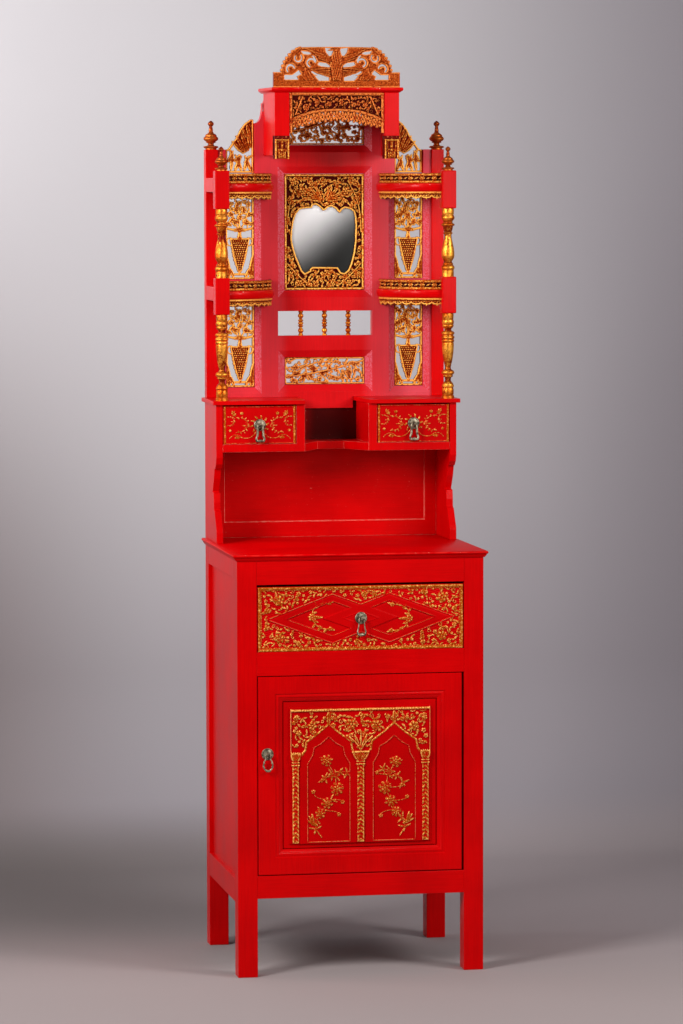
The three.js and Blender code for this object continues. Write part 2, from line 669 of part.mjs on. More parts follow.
// Posts at the back with side stretchers, and columns at the front
for (const [sideName, side] of [['left', -1], ['right', 1]]) {
  const postX = onSide(side, [wingOuterX, width / 2]);
  const postPlace = [side * (width - postWidth) / 2, rearY - postDepth / 2];
  const postTopZ = deckZ + postHeight;
  const stretcherX = onSide(side, [width / 2 - stretcherThickness, width / 2]);
  const stretcherY = [unitFrontY + columnBlock, rearY - postDepth];
  const stretcherTops = [columnTopZ - stretcherDrop, upperTurningZ - lowerStretcherDrop];
  const stretchers = stretcherTops.map((top) => block(stretcherX, stretcherY, [top - stretcherHeight, top]));
  add(`${sideName}_rear_post`, joined([
    block(postX, [rearY - postDepth, rearY], [deckZ, postTopZ]),
    turning('finial', postFinialRadius, postFinialHeight, postPlace, postTopZ),
    ...stretchers,
  ]), 'lacquer');

  const blockX = onSide(side, [width / 2 - columnBlock, width / 2]);
  const blockY = [unitFrontY, unitFrontY + columnBlock];
  const place = [side * (width - columnBlock) / 2, unitFrontY + columnBlock / 2];
  add(`${sideName}_front_column`, joined([
    turned([[coreRadius, 0], [coreRadius, columnTopZ - deckZ]], place, deckZ),
    turning('lowerTurning', turningRadius, lowerTurningHeight, place, deckZ),
    block(blockX, blockY, [lowerBlockZ, upperTurningZ]),
    turning('upperTurning', turningRadius, upperTurningHeight, place, upperTurningZ),
    block(blockX, blockY, [upperBlockZ, columnTopZ]),
    turning('finial', turningRadius, columnFinialHeight, place, columnTopZ),
  ]), 'gilt');
}

// Back frame: one outline with scalloped ears at the canopy, then the openings with their moulded slopes
const earHeight = 40;
const earInset = 13;
const earSteps = [[0, 1], [0.35, 0.96], [0.12, 0.76], [0.18, 0.56], [0.5, 0.3], [1, 0]]
  .map(([insetShare, heightShare]) => [insetShare * earInset, heightShare * earHeight]);
const crestSideX = wingPanelOuter;
const earZ = crestZ + wingEarRise + wingScrollRise;
const outerStileZ = deckZ + postHeight;
const frameOutline = new THREE.Shape();
frameOutline.moveTo(-wingOuterX, deckZ);
frameOutline.lineTo(-apronHalf, deckZ);
frameOutline.lineTo(-apronHalf, apronZ);
frameOutline.lineTo(apronHalf, apronZ);
frameOutline.lineTo(apronHalf, deckZ);
frameOutline.lineTo(wingOuterX, deckZ);
frameOutline.lineTo(wingOuterX, outerStileZ);
frameOutline.lineTo(crestSideX, outerStileZ);
frameOutline.lineTo(crestSideX, crestZ);
frameOutline.lineTo(wingPanelInner, crestZ);
frameOutline.lineTo(wingPanelInner, earZ);
frameOutline.quadraticCurveTo(wingInnerX, earZ, wingInnerX, earZ + wingScrollRise);
for (const [inset, drop] of earSteps) frameOutline.lineTo(wingInnerX - inset, canopyTopZ - drop);
for (const [inset, drop] of earSteps.toReversed()) frameOutline.lineTo(inset - wingInnerX, canopyTopZ - drop);
frameOutline.lineTo(-wingInnerX, earZ + wingScrollRise);
frameOutline.quadraticCurveTo(-wingInnerX, earZ, -wingPanelInner, earZ);
frameOutline.lineTo(-wingPanelInner, crestZ);
frameOutline.lineTo(-crestSideX, crestZ);
frameOutline.lineTo(-crestSideX, outerStileZ);
frameOutline.lineTo(-wingOuterX, outerStileZ);

// Each pierced panel's own opening, inside its slope
const panelHalf = centreHalf - bevel;
const centreSpans = {
  lower: [lowerRecessZ + bevel, windowRailZ - bevel],
  mirror: [mirrorRecessZ + bevel, canopyRailZ - bevel],
  canopy: [canopyRecessZ + bevel, canopyTopZ - bevel],
};
const wingSpans = {
  lower: [wingLowerZ, wingLowerZ + wingPanelHeight],
  upper: [wingUpperZ, wingUpperZ + wingPanelHeight],
};
const wingSpanX = (side) => onSide(side, [wingPanelInner, wingPanelOuter]);
const frameHoles = Object.values(centreSpans)
  .map((z) => bevelledHole([-panelHalf, panelHalf], z, frameFrontY, bevel, bevelDepth, rearY));
for (const side of [1, -1]) {
  for (const z of Object.values(wingSpans)) {
    frameHoles.push(bevelledHole(wingSpanX(side), z, frameFrontY, wingBevel, bevelDepth, rearY));
  }
}
const throughFrameY = [frameFrontY - overrun, rearY + overrun];
frameHoles.push(block([-centreHalf, centreHalf], throughFrameY, [windowZ, mirrorRailZ]));
add('back_frame', cutAway(prism('front', frameOutline, [frameFrontY, rearY]), frameHoles), 'lacquer');

for (const [name, step] of [['left', -1], ['middle', 0], ['right', 1]]) {
  const place = [step * spindleSpacing, rearY - frameThickness / 2];
  add(`${name}_spindle`, turning('spindle', spindleRadius, windowHeight, place, windowZ), 'gilt');
}

// Pierced carving, cut from one board: outlines drawn in the front plane, joined and kept to the board
function carving(shapes, x, y, z, curveSegments = 3) {
  return joined(shapes.map((shape) => prism('front', shape, y, curveSegments))).intersect(block(x, y, z));
}

function border([x0, x1], [z0, z1], edge) {
  const corners = (inset) => [
    [x0 + inset, z0 + inset], [x1 - inset, z0 + inset], [x1 - inset, z1 - inset], [x0 + inset, z1 - inset],
  ];
  const shape = polygon(corners(0));
  shape.holes.push(polygon(corners(edge)));
  return shape;
}

const petals = 5;
const petalSteps = 3;
const petalDepthShare = 0.15;
function flower(x, z, radius) {
  const points = [];
  const steps = petals * petalSteps;
  for (let i = 0; i < steps; i += 1) {
    const turn = (2 * Math.PI * i) / steps;
    const reach = radius * (1 - petalDepthShare + petalDepthShare * Math.cos(petals * turn));
    points.push([x + reach * Math.cos(turn), z + reach * Math.sin(turn)]);
  }
  return polygon(points);
}

function leaf(x0, z0, x1, z1, breadth) {
  const shape = new THREE.Shape();
  const sideX = (breadth * (z1 - z0)) / Math.hypot(x1 - x0, z1 - z0);
  const sideZ = (breadth * (x0 - x1)) / Math.hypot(x1 - x0, z1 - z0);
  shape.moveTo(x0, z0);
  shape.quadraticCurveTo((x0 + x1) / 2 + sideX, (z0 + z1) / 2 + sideZ, x1, z1);
  shape.quadraticCurveTo((x0 + x1) / 2 - sideX, (z0 + z1) / 2 - sideZ, x0, z0);
  return shape;
}

function ring(x, z, radius, thickness) {
  const shape = new THREE.Shape().absarc(x, z, radius, 0, 2 * Math.PI);
  shape.holes.push(new THREE.Path().absarc(x, z, radius - thickness, 0, 2 * Math.PI, true));
  return shape;
}

const shrink = ([low, high]) => [low + clearance, high - clearance];
const fretY = [frameFrontY + bevelDepth + clearance, frameFrontY + bevelDepth + clearance + fretThickness];

// Wing panels: a footed vase below, its flowers above
const vaseShares = [
  [0.2, 0], [0.2, 0.03], [0.07, 0.06], [0.07, 0.1], [0.16, 0.22], [0.29, 0.42], [0.25, 0.47], [0.08, 0.5],
  [0.08, 0.54], [0.3, 0.57], [0.3, 0.59],
];
const flowerShares = [
  [-0.24, 0.68, 0.16], [0.24, 0.68, 0.16], [0, 0.78, 0.2],
  [-0.27, 0.88, 0.18], [0.27, 0.88, 0.18], [0, 0.94, 0.12],
];
const leafShares = [[0.12, 0.02, 0.44, 0.3], [0.1, 0.08, 0.48, 0.2], [0.1, 0.55, 0.46, 0.62]];
const stemShares = [[0, 0.56, 0.27, 0.9], [0, 0.5, 0, 1]];
function wingPanel(side, z) {
  const x = shrink(wingSpanX(side));
  const span = shrink(z);
  const middle = (x[0] + x[1]) / 2;
  const breadth = x[1] - x[0];
  const at = (share) => span[0] + share * (span[1] - span[0]);
  const half = vaseShares.map(([r, h]) => [r * breadth, at(h)]);
  const vase = polygon([
    ...half.map(([r, h]) => [middle + r, h]), ...half.toReversed().map(([r, h]) => [middle - r, h]),
  ]);
  const blooms = flowerShares.map(([dx, h, r]) => flower(middle + dx * breadth, at(h), r * breadth));
  const bothWays = ([x0, h0, x1, h1], leafBreadth) => [-1, 1].map((way) => leaf(
    middle + way * x0 * breadth, at(h0), middle + way * x1 * breadth, at(h1), leafBreadth,
  ));
  const leaves = leafShares.flatMap((row) => bothWays(row, 2 * fretBorder));
  const stems = stemShares.flatMap((row) => bothWays(row, fretBorder));
  return carving([border(x, span, fretBorder), vase, ...stems, ...blooms, ...leaves], x, fretY, span);
}

// Wing crests: a leafy half gable that rises towards the middle
const crestOutlineShares = [
  [0, 0], [1, 0], [1, 0.44], [0.86, 0.44], [0.78, 0.56], [0.66, 0.5], [0.56, 0.74], [0.34, 0.9],
  [0.2, 1], [0, 1],
];
const crestHoleShares = [
  [[0.14, 0.12], [0.4, 0.12], [0.3, 0.3]], [[0.5, 0.1], [0.86, 0.1], [0.7, 0.28]],
  [[0.12, 0.26], [0.22, 0.4], [0.12, 0.62]], [[0.86, 0.2], [0.86, 0.36], [0.62, 0.36]],
  [[0.14, 0.7], [0.26, 0.6], [0.16, 0.86]], [[0.34, 0.4], [0.52, 0.42], [0.36, 0.66]],
];
function wingCrest(side) {
  const x = shrink(onSide(side, [wingPanelInner, crestSideX]));
  const inner = side > 0 ? x[0] : x[1];
  const breadth = x[1] - x[0];
  const place = ([u, v]) => [inner + side * u * breadth, crestZ + v * wingCrestHeight];
  const shape = polygon(crestOutlineShares.map(place));
  crestHoleShares.forEach((hole) => shape.holes.push(polygon(hole.map(place))));
  return carving([shape], x, fretY, [crestZ, crestZ + wingCrestHeight]);
}

for (const [sideName, side] of [['left', -1], ['right', 1]]) {
  for (const level of ['lower', 'upper']) {
    add(`${sideName}_${level}_wing_fretwork`, wingPanel(side, wingSpans[level]), 'gilt');
  }
  add(`${sideName}_wing_crest`, wingCrest(side), 'gilt');
}

// A winding branch with blossoms and leaves across a wide panel
const swayShare = 0.28; // of the panel's height, either side of the middle
const blossomShare = 0.15;
const branchWaves = 1.5;
function branchPanel(z, blossoms) {
  const x = shrink([-panelHalf, panelHalf]);
  const span = shrink(z);
  const breadth = x[1] - x[0];
  const height = span[1] - span[0];
  const at = (share) => [
    x[0] + share * breadth,
    (span[0] + span[1]) / 2 + swayShare * height * Math.sin(2 * Math.PI * branchWaves * share),
  ];
  const shapes = [border(x, span, fretBorder)];
  for (let i = 0; i < blossoms; i += 1) {
    const [x0, z0] = at(i / blossoms);
    const [x1, z1] = at((i + 1) / blossoms);
    const tip = i % 2 ? span[1] - fretBorder / 2 : span[0] + fretBorder / 2;
    shapes.push(leaf(x0, z0, x1, z1, fretBorder), leaf(x1, z1, (x0 + x1) / 2, tip, 2 * fretBorder));
    if (i < blossoms - 1) shapes.push(flower(x1, z1, blossomShare * height + fretBorder / 2));
  }
  return carving(shapes, x, fretY, span);
}
add('lower_fretwork', branchPanel(centreSpans.lower, 8), 'gilt');
add('canopy_back_fretwork', branchPanel(centreSpans.canopy, 7), 'gilt');

// Mirror in its carved surround
const mirrorZ = shrink(centreSpans.mirror);
const mirrorX = shrink([-panelHalf, panelHalf]);
const glassStartShare = [-0.24, 0.13]; // shares of the surround's width and height
const glassCurveShares = [
  // the control point and the end of each curve
  [[-0.36, 0.34], [-0.36, 0.46]], [[-0.36, 0.62], [-0.25, 0.715]], [[-0.12, 0.765], [0, 0.735]],
  [[0.12, 0.765], [0.25, 0.715]], [[0.36, 0.62], [0.36, 0.46]], [[0.36, 0.34], [0.24, 0.13]],
  [[0, 0.19], [-0.24, 0.13]],
];
const surroundWidth = mirrorX[1] - mirrorX[0];
const surroundHeight = mirrorZ[1] - mirrorZ[0];
const glassAt = ([u, v]) => [u * surroundWidth, mirrorZ[0] + v * surroundHeight];
const glassHole = new THREE.Path();
glassHole.moveTo(...glassAt(glassStartShare));
for (const [control, end] of glassCurveShares) {
  glassHole.quadraticCurveTo(...glassAt(control), ...glassAt(end));
}
const surround = polygon([
  [mirrorX[0], mirrorZ[0]], [mirrorX[1], mirrorZ[0]], [mirrorX[1], mirrorZ[1]], [mirrorX[0], mirrorZ[1]],
]);
surround.holes.push(glassHole);
add('mirror_fretwork', carving([surround], mirrorX, fretY, mirrorZ, 5), 'gilt');
const glassY = fretY[1] + clearance;
add('mirror_glass', block(mirrorX, [glassY, glassY + mirrorThickness], mirrorZ), 'glass');

// Quarter-round shelves, each with a pierced gallery above and an apron below its curved edge
const shelfCentre = { x: width / 2 - stretcherThickness, y: frameFrontY };
function quarter(side, inset) {
  const shape = new THREE.Shape();
  shape.moveTo(side * shelfCentre.x, shelfCentre.y);
  for (let i = 0; i <= shelfSteps; i += 1) {
    const turn = (Math.PI / 2) * (i / shelfSteps);
    shape.lineTo(
      side * (shelfCentre.x - (shelfReach - inset) * Math.cos(turn)),
      shelfCentre.y - (shelfProjection - inset) * Math.sin(turn),
    );
  }
  return shape;
}

function shelf(side, z) {
  const board = [z, z + shelfThickness];
  const galleryTop = board[1] + galleryHeight;
  const band = [z - shelfApron, galleryTop];
  const within = quarter(side, galleryInset + galleryThickness);
  const rim = prism('top', quarter(side, galleryInset), band)
    .subtract(prism('top', within, [band[0] - overrun, band[1] + overrun]));
  const openings = [];
  for (let i = 0; i < galleryOpenings; i += 1) {
    const [from, to] = galleryGapShares.map((share) => (Math.PI / 2) * ((i + share) / galleryOpenings));
    const far = shelfReach + shelfProjection;
    const wedge = polygon([
      [side * shelfCentre.x, shelfCentre.y],
      [side * (shelfCentre.x - far * Math.cos(from)), shelfCentre.y - far * Math.sin(from)],
      [side * (shelfCentre.x - far * Math.cos(to)), shelfCentre.y - far * Math.sin(to)],
    ]);
    openings.push(prism('top', wedge, [board[1] + galleryRail, galleryTop - galleryRail]));
  }
  const neighbours = [
    block(
      onSide(side, [wingOuterX - clearance, width / 2]),
      [rearY - postDepth - clearance, rearY],
      [deckZ, canopyTopZ],
    ),
    block(
      onSide(side, [width / 2 - columnBlock - clearance, width / 2]),
      [unitFrontY - overrun, unitFrontY + columnBlock + clearance],
      [deckZ, canopyTopZ],
    ),
  ];
  return cutAway(prism('top', quarter(side, 0), board).add(rim), [...openings, ...neighbours]);
}

for (const [sideName, side] of [['left', -1], ['right', 1]]) {
  add(`${sideName}_lower_shelf`, shelf(side, wingMiddleRailZ), 'lacquer');
  add(`${sideName}_upper_shelf`, shelf(side, wingTopRailZ - upperShelfDrop), 'lacquer');
}

// Canopy: cornice, side boards and front boards with gilt pendants
const sideBoardsZ = [canopyTopZ - canopySideDrop, canopyTopZ];
const frontBoardsZ = [canopyTopZ - canopyFrontDrop, canopyTopZ];
const canopyInner = canopyHalf - canopyStile;
const corniceHalf = canopyHalf + corniceOverhang;
const canopyPieces = [
  block([-corniceHalf, corniceHalf], [canopyFrontY - corniceOverhang, rearY], [canopyTopZ, corniceTopZ]),
];
for (const side of [1, -1]) {
  canopyPieces.push(
    block(onSide(side, [canopyHalf - canopyBoard, canopyHalf]), [canopyFrontY, frameFrontY], sideBoardsZ),
    block(onSide(side, [canopyInner, canopyHalf]), [canopyFrontY, canopyFrontY + canopyBoard], frontBoardsZ),
    block(
      onSide(side, [canopyInner, canopyHalf]),
      [canopyFrontY, canopyFrontY + dropDepth],
      [frontBoardsZ[0] - dropHeight, frontBoardsZ[0]],
    ),
  );
}
add('canopy_case', joined(canopyPieces), 'lacquer');

// Arched front of the canopy
const archX = shrink([-canopyInner, canopyInner]);
const archZ = [canopyTopZ - clearance - archPanelHeight, canopyTopZ - clearance];
const archShape = new THREE.Shape();
archShape.moveTo(archX[0], archZ[0]);
archShape.lineTo(archX[0], archZ[1]);
archShape.lineTo(archX[1], archZ[1]);
archShape.lineTo(archX[1], archZ[0]);
archShape.lineTo(archX[1] - canopyBorder, archZ[0]);
archShape.lineTo(archX[1] - canopyBorder, canopyTopZ - archEndDrop);
const archCrownZ = canopyTopZ - 2 * archDrop + archEndDrop;
archShape.quadraticCurveTo(0, archCrownZ, archX[0] + canopyBorder, canopyTopZ - archEndDrop);
archShape.lineTo(archX[0] + canopyBorder, archZ[0]);
const archY = [canopyFrontY + clearance, canopyFrontY + clearance + fretThickness];
add('canopy_arch_fretwork', carving([archShape], archX, archY, archZ, 8), 'gilt');

// Top crest: an arched band over a bird with spread wings between scrolls
const crestBaseZ = corniceTopZ;
const crestAt = (u, v) => [u * crestHalf, crestBaseZ + v * crestHeight];
function crestArch(inset) {
  const shape = new THREE.Path();
  const foot = crestHalf - crestBlockWidth + fretBorder - inset;
  const top = crestBaseZ + crestHeight - inset;
  const footZ = crestBaseZ + crestBlockHeight / 2;
  const flat = crestFlatShare * foot;
  shape.moveTo(-foot, footZ);
  shape.bezierCurveTo(-foot, top - crestBlockHeight / 2, -foot + crestBlockWidth, top, -flat, top);
  shape.lineTo(flat, top);
  shape.bezierCurveTo(foot - crestBlockWidth, top, foot, top - crestBlockHeight / 2, foot, footZ);
  return shape.getPoints(crestSegments);
}
const crestArchShape = new THREE.Shape([...crestArch(0), ...crestArch(crestBand).reverse()]);
const birdShares = {
  body: [[0.1, 0.1], [0.07, 0.5], [0.05, 0.98], [-0.05, 0.98], [-0.07, 0.5], [-0.1, 0.1]],
  wing: [
    [0.04, 0.55], [0.14, 0.5], [0.2, 0.42], [0.3, 0.66], [0.5, 0.96], [0.2, 0.97], [0.1, 0.72], [0.04, 0.75],
  ],
  tail: [[0.04, 0.16], [0.48, 0.2], [0.5, 0.32], [0.2, 0.4], [0.04, 0.44]],
};
const scrollShares = [
  [0.56, 0.74, 0.1], [0.4, 0.5, 0.1], [0.66, 0.46, 0.1], [0.78, 0.3, 0.09], [0.56, 0.24, 0.08],
];
const crestRows = (low, high, top) => polygon([
  [low, crestBaseZ], [high, crestBaseZ], [high, top], [low, top],
]);
const crestShapes = [
  crestRows(-crestHalf, crestHalf, crestBaseZ + crestRail),
  crestArchShape,
  polygon(birdShares.body.map(([u, v]) => crestAt(u, v))),
];
for (const side of [-1, 1]) {
  for (const shares of [birdShares.wing, birdShares.tail]) {
    crestShapes.push(polygon(shares.map(([u, v]) => crestAt(side * u, v))));
  }
  for (const [u, v, r] of scrollShares) {
    crestShapes.push(ring(...crestAt(side * u, v), r * crestHalf, crestBand / 2));
  }
  const endBlock = onSide(side, [crestHalf - crestBlockWidth, crestHalf]);
  crestShapes.push(crestRows(...endBlock, crestBaseZ + crestBlockHeight));
}
const crestY = [canopyFrontY, canopyFrontY + crestThickness];
const crestSpanZ = [crestBaseZ, crestBaseZ + crestHeight];
add('top_crest', carving(crestShapes, [-crestHalf, crestHalf], crestY, crestSpanZ, crestSegments), 'oldGilt');

export default cabinet;
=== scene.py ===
import json
import math

import bmesh
import bpy
import numpy as np
from mathutils import Matrix, Vector


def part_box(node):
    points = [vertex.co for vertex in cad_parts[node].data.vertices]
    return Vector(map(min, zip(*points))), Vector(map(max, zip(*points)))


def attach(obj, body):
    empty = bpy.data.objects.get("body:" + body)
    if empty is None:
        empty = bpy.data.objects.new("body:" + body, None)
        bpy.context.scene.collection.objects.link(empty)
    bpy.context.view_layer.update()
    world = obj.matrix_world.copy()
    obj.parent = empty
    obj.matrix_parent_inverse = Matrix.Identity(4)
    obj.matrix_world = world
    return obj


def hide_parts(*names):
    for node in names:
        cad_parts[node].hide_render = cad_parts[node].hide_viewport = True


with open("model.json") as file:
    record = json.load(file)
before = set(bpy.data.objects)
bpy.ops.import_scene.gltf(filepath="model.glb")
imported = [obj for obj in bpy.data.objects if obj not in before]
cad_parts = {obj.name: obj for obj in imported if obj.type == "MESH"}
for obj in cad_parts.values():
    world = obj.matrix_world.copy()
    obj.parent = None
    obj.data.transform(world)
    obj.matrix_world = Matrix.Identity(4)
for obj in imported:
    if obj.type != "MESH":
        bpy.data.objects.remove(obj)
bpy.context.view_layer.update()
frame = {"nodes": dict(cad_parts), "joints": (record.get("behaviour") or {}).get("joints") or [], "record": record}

# Legs, rails, panels and boards of the whole cabinet. Planed softwood, tenoned, pegged and glued, under
# brushed red lacquer. The edges are eased by hand, and worn pale where hands, feet and brooms reach.
MM = 0.001
body_of = {node: body for body, nodes in frame["record"]["behaviour"]["bodies"].items() for node in nodes}


def srgb(red, green, blue):
    """A colour as the eye reads it, from 0 to 255, in the scale that a shader uses."""
    shares = [value / 255 for value in (red, green, blue)]
    return (*[s / 12.92 if s < 0.04045 else ((s + 0.055) / 1.055) ** 2.4 for s in shares], 1.0)


def span(node):
    """Lowest and highest corner of a solid in millimetres."""
    return [np.array(corner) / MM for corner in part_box(node)]


class Link:
    """A socket of a finish's nodes. Arithmetic on links of plain values adds Math nodes."""

    def __init__(self, tree, socket=None):
        self.tree = tree
        self.socket = socket

    def node(self, kind, settings=None, sockets=None, output=0):
        made = self.tree.nodes.new("ShaderNode" + kind)
        for name, value in (settings or {}).items():
            setattr(made, name, value)
        for name, value in (sockets or {}).items():
            if isinstance(value, Link):
                self.tree.links.new(value.socket, made.inputs[name])
            else:
                made.inputs[name].default_value = value
        return Link(self.tree, made.outputs[output])

    def math(self, operation, *values):
        return self.node("Math", {"operation": operation}, dict(enumerate((self, *values))))

    def __add__(self, other):
        return self.math("ADD", other)

    def __sub__(self, other):
        return self.math("SUBTRACT", other)

    def __rsub__(self, other):
        return self * -1.0 + other

    def __mul__(self, other):
        return self.math("MULTIPLY", other)

    __radd__ = __add__
    __rmul__ = __mul__

    def between(self, low, high):
        """0 below low, 1 above high, and a smooth step from one to the other."""
        return self.node("MapRange", {"interpolation_type": "SMOOTHSTEP"}, {0: self, 1: low, 2: high})

    def mix(self, first, second):
        """The first colour where this link is 0, and the second where it is 1."""
        return self.node("Mix", {"data_type": "RGBA"}, {0: self, 6: first, 7: second}, 2)

    def scaled(self, factors):
        return self.node("VectorMath", {"operation": "MULTIPLY"}, {0: self, 1: factors})

    def noise(self, scale, detail=3.0, roughness=0.55):
        return self.node("TexNoise", None, {"Vector": self, "Scale": scale, "Detail": detail, "Roughness": roughness})

    def attribute(self, name):
        return self.node("Attribute", {"attribute_name": name}, output="Fac")

    def axis(self, letter):
        return self.node("SeparateXYZ", None, {0: self}, letter)

    def facing(self, letter):
        """How far the surface faces along one axis."""
        return self.node("NewGeometry", output="True Normal").axis(letter)

    def bump(self, strength, distance):
        return self.node("Bump", None, {"Height": self, "Strength": strength, "Distance": distance})


def new_finish(name, **plain):
    """A material with plain values on its shader's sockets, and the place on the piece as a link."""
    material = bpy.data.materials.new(name)
    material.use_nodes = True
    shader = material.node_tree.nodes["Principled BSDF"]
    for socket, value in plain.items():
        shader.inputs[socket.replace("_", " ")].default_value = value
    return material, Link(material.node_tree).node("TexCoord", output="Object")


def feed(material, **links):
    """Joins what changes over the surface to the shader's sockets."""
    shader = material.node_tree.nodes["Principled BSDF"]
    for socket, link in links.items():
        material.node_tree.links.new(link.socket, shader.inputs[socket.replace("_", " ")])


ALONG_X = (0.04, 1.0, 1.0)
ALONG_Y = (1.0, 0.04, 1.0)
ALONG_Z = (1.0, 1.0, 0.04)
RED, DEEP_RED = srgb(214, 0, 3), srgb(192, 0, 3)
RUBBED_RED, PALE_WEAR = srgb(238, 60, 50), srgb(232, 160, 140)
# The painted shade of the niche, and the pink of a painted sheen.
NICHE_PAINTED_SHADE, PAINTED_SHEEN_COLOUR = srgb(62, 1, 2), srgb(218, 138, 158)
RED_SHEEN = (1.0, 0.12, 0.1, 1.0)


def lacquer(name, grain, worn=0.0, painted_shade_above=None, painted_sheen=False, shine=0.3):
    """Brushed lacquer. A higher worn bares more of it. Given a height, the front above it carries painted shade, as
    in a niche, and a board with a painted sheen is paler on its bevels and towards its ends."""
    material, place = new_finish(
        name, Coat_Weight=0.06, Coat_Roughness=0.12, Specular_IOR_Level=shine, Specular_Tint=RED_SHEEN
    )
    brush = place.scaled(grain).noise(420.0, 4.0)
    cloud = place.noise(8.0, 3.0)
    fine = place.noise(900.0, 2.0)
    wear = place.attribute("wear")
    rubbed = (wear + place.noise(60.0, 3.0)).between(1.4 - worn, 1.66 - worn)
    chipped = (wear + place.noise(140.0, 4.0)).between(1.63 - worn, 1.67 - worn)
    fleck = place.noise(260.0, 4.0, 0.7).between(0.76 - 0.2 * worn, 0.775 - 0.2 * worn)
    colour = (cloud * 0.7 + brush * 0.4).between(0.36, 0.76).mix(DEEP_RED, RED)
    # Painted shade over the front above the given height, as in a niche; it is weaker at the left end.
    if painted_shade_above:
        within = place.axis("X").between(-0.062, -0.02) * 0.4 + 0.6
        front = place.facing("Y").between(-0.3, -0.6)
        height = place.axis("Z").between(painted_shade_above, painted_shade_above + 0.004)
        colour = (height * (within * front)).mix(colour, NICHE_PAINTED_SHADE)
    colour = (rubbed * 0.45).mix(colour, RUBBED_RED)
    # Painted sheen: a pink reflection painted on the bevels that face the sides, and on the flat front, more so towards
    # the right.
    if painted_sheen:
        turned = place.facing("X").math("ABSOLUTE")
        speckle = place.noise(380.0, 2.0).between(0.42, 0.6)
        bevel = turned.between(0.12, 0.2) * turned.between(0.95, 0.85) * (speckle * 0.36 + 0.14)
        across = place.axis("X")
        flat = across.math("ABSOLUTE").between(0.08, 0.11) * 0.09 + across.between(0.1, 0.22) * 0.16 + cloud * 0.04
        colour = (bevel + flat * turned.between(0.12, 0.05)).mix(colour, PAINTED_SHEEN_COLOUR)
    colour = (chipped + fleck * 0.7).math("MINIMUM", 1.0).mix(colour, PALE_WEAR)
    feed(
        material,
        Base_Color=colour,
        Roughness=0.24 + brush * 0.16 + cloud * 0.1 + chipped * 0.3,
        Normal=(brush * 0.25 + fine * 0.15 - chipped).bump(0.3, 0.0007),
    )
    return material


lacquer_upright = lacquer("lacquer_upright", ALONG_Z)
lacquer_level = lacquer("lacquer_level", ALONG_X)


def finished_mesh(name, mesh_data, smooth=None):
    """Adds a mesh as a piece. With smooth, faces blend over edges flatter than that many degrees."""
    if smooth is not None:
        mesh_data.shade_smooth()
        mesh_data.set_sharp_from_angle(angle=math.radians(smooth))
    piece = bpy.data.objects.new(name, mesh_data)
    bpy.context.scene.collection.objects.link(piece)
    return piece


def settle(piece, finish, node):
    """Gives a piece its finish and its body, and hides the solid that it stands for."""
    piece.data.materials.append(finish)
    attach(piece, body_of[node])
    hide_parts(node)


def ease(shape, radius):
    """Rounds the arrises of a bmesh and marks the crown of each rounding as worn."""
    wear = shape.verts.layers.float.new("wear")
    arrises = [e for e in shape.edges if e.is_manifold and e.calc_face_angle() > math.radians(20)]
    rounded = bmesh.ops.bevel(
        shape, geom=arrises, offset=radius, segments=2, profile=0.5, affect="EDGES", clamp_overlap=True
    )
    rounding = set(rounded["faces"])
    for vertex in shape.verts:
        vertex[wear] = float(all(face in rounding for face in vertex.link_faces))


def piece_from(shape, name, smooth=None):
    """Turns a bmesh into a piece."""
    data = bpy.data.meshes.new(name)
    shape.to_mesh(data)
    shape.free()
    return finished_mesh(name, data, smooth)


def settle_shape(shape, name, finish, node, smooth=None):
    """Turns a bmesh into a piece that stands for a solid."""
    settle(piece_from(shape, name, smooth), finish, node)


def eased_copy(node, finish, radius):
    """A piece in the shape of one solid, with its arrises eased."""
    shape = bmesh.new()
    shape.from_mesh(frame["nodes"][node].data)
    bmesh.ops.remove_doubles(shape, verts=shape.verts, dist=0.01 * MM)
    bmesh.ops.dissolve_limit(shape, angle_limit=math.radians(1), verts=shape.verts, edges=shape.edges)
    ease(shape, radius * MM)
    settle_shape(shape, node + "_timber", finish, node)


def add_block(shape, low, high):
    """Adds a closed block to a bmesh, from its lowest to its highest corner in millimetres."""
    middle = (np.array(low) + np.array(high)) / 2 * MM
    size = (np.array(high) - np.array(low)) * MM
    matrix = Matrix.Translation(Vector(middle)) @ Matrix.Diagonal((*size, 1.0))
    bmesh.ops.create_cube(shape, size=1.0, matrix=matrix)


for nodes, finish, radius in (
    (("front_left_leg", "front_right_leg", "rear_left_leg", "rear_right_leg"), lacquer_upright, 1.4),
    (("left_side_panel", "right_side_panel", "rear_panel"), lacquer_upright, 1.0),
    (("front_bottom_rail", "front_middle_rail", "front_top_rail"), lacquer_level, 0.8),
    (("left_bracket_side", "right_bracket_side"), lacquer_upright, 1.0),
    (("left_unit_top", "right_unit_top"), lacquer_level, 0.8),
    (("drawer_unit_floor",), lacquer("lacquer_rubbed", ALONG_Z, 0.3), 0.8),
    # The alcove's back carries painted shade above 1.13 m, where the niche lies.
    (("alcove_back",), lacquer("lacquer_alcove", ALONG_X, 0.34, painted_shade_above=1.13), 1.6),
):
    for node in nodes:
        eased_copy(node, finish, radius)

# Cupboard floor, drawer board and drawer boxes. Bare softwood boards that have browned with age, with the
# saw marks left on; nobody sees them until a drawer or the door is open.


def bare_wood(name, grain):
    material, place = new_finish(name, Specular_IOR_Level=0.3)
    rings = place.scaled(grain).noise(90.0, 6.0, 0.65)
    pores = place.scaled(grain).noise(900.0, 3.0)
    stain = place.noise(12.0, 3.0)
    colour = (rings * 0.8 + stain * 0.3).between(0.35, 0.75).mix(srgb(84, 48, 28), srgb(146, 98, 60))
    feed(
        material,
        Base_Color=(pores.between(0.55, 0.7) * 0.4).mix(colour, srgb(60, 34, 20)),
        Roughness=0.62 + rings * 0.2,
        Normal=(rings + pores * 0.5).bump(0.4, 0.0008),
    )
    return material


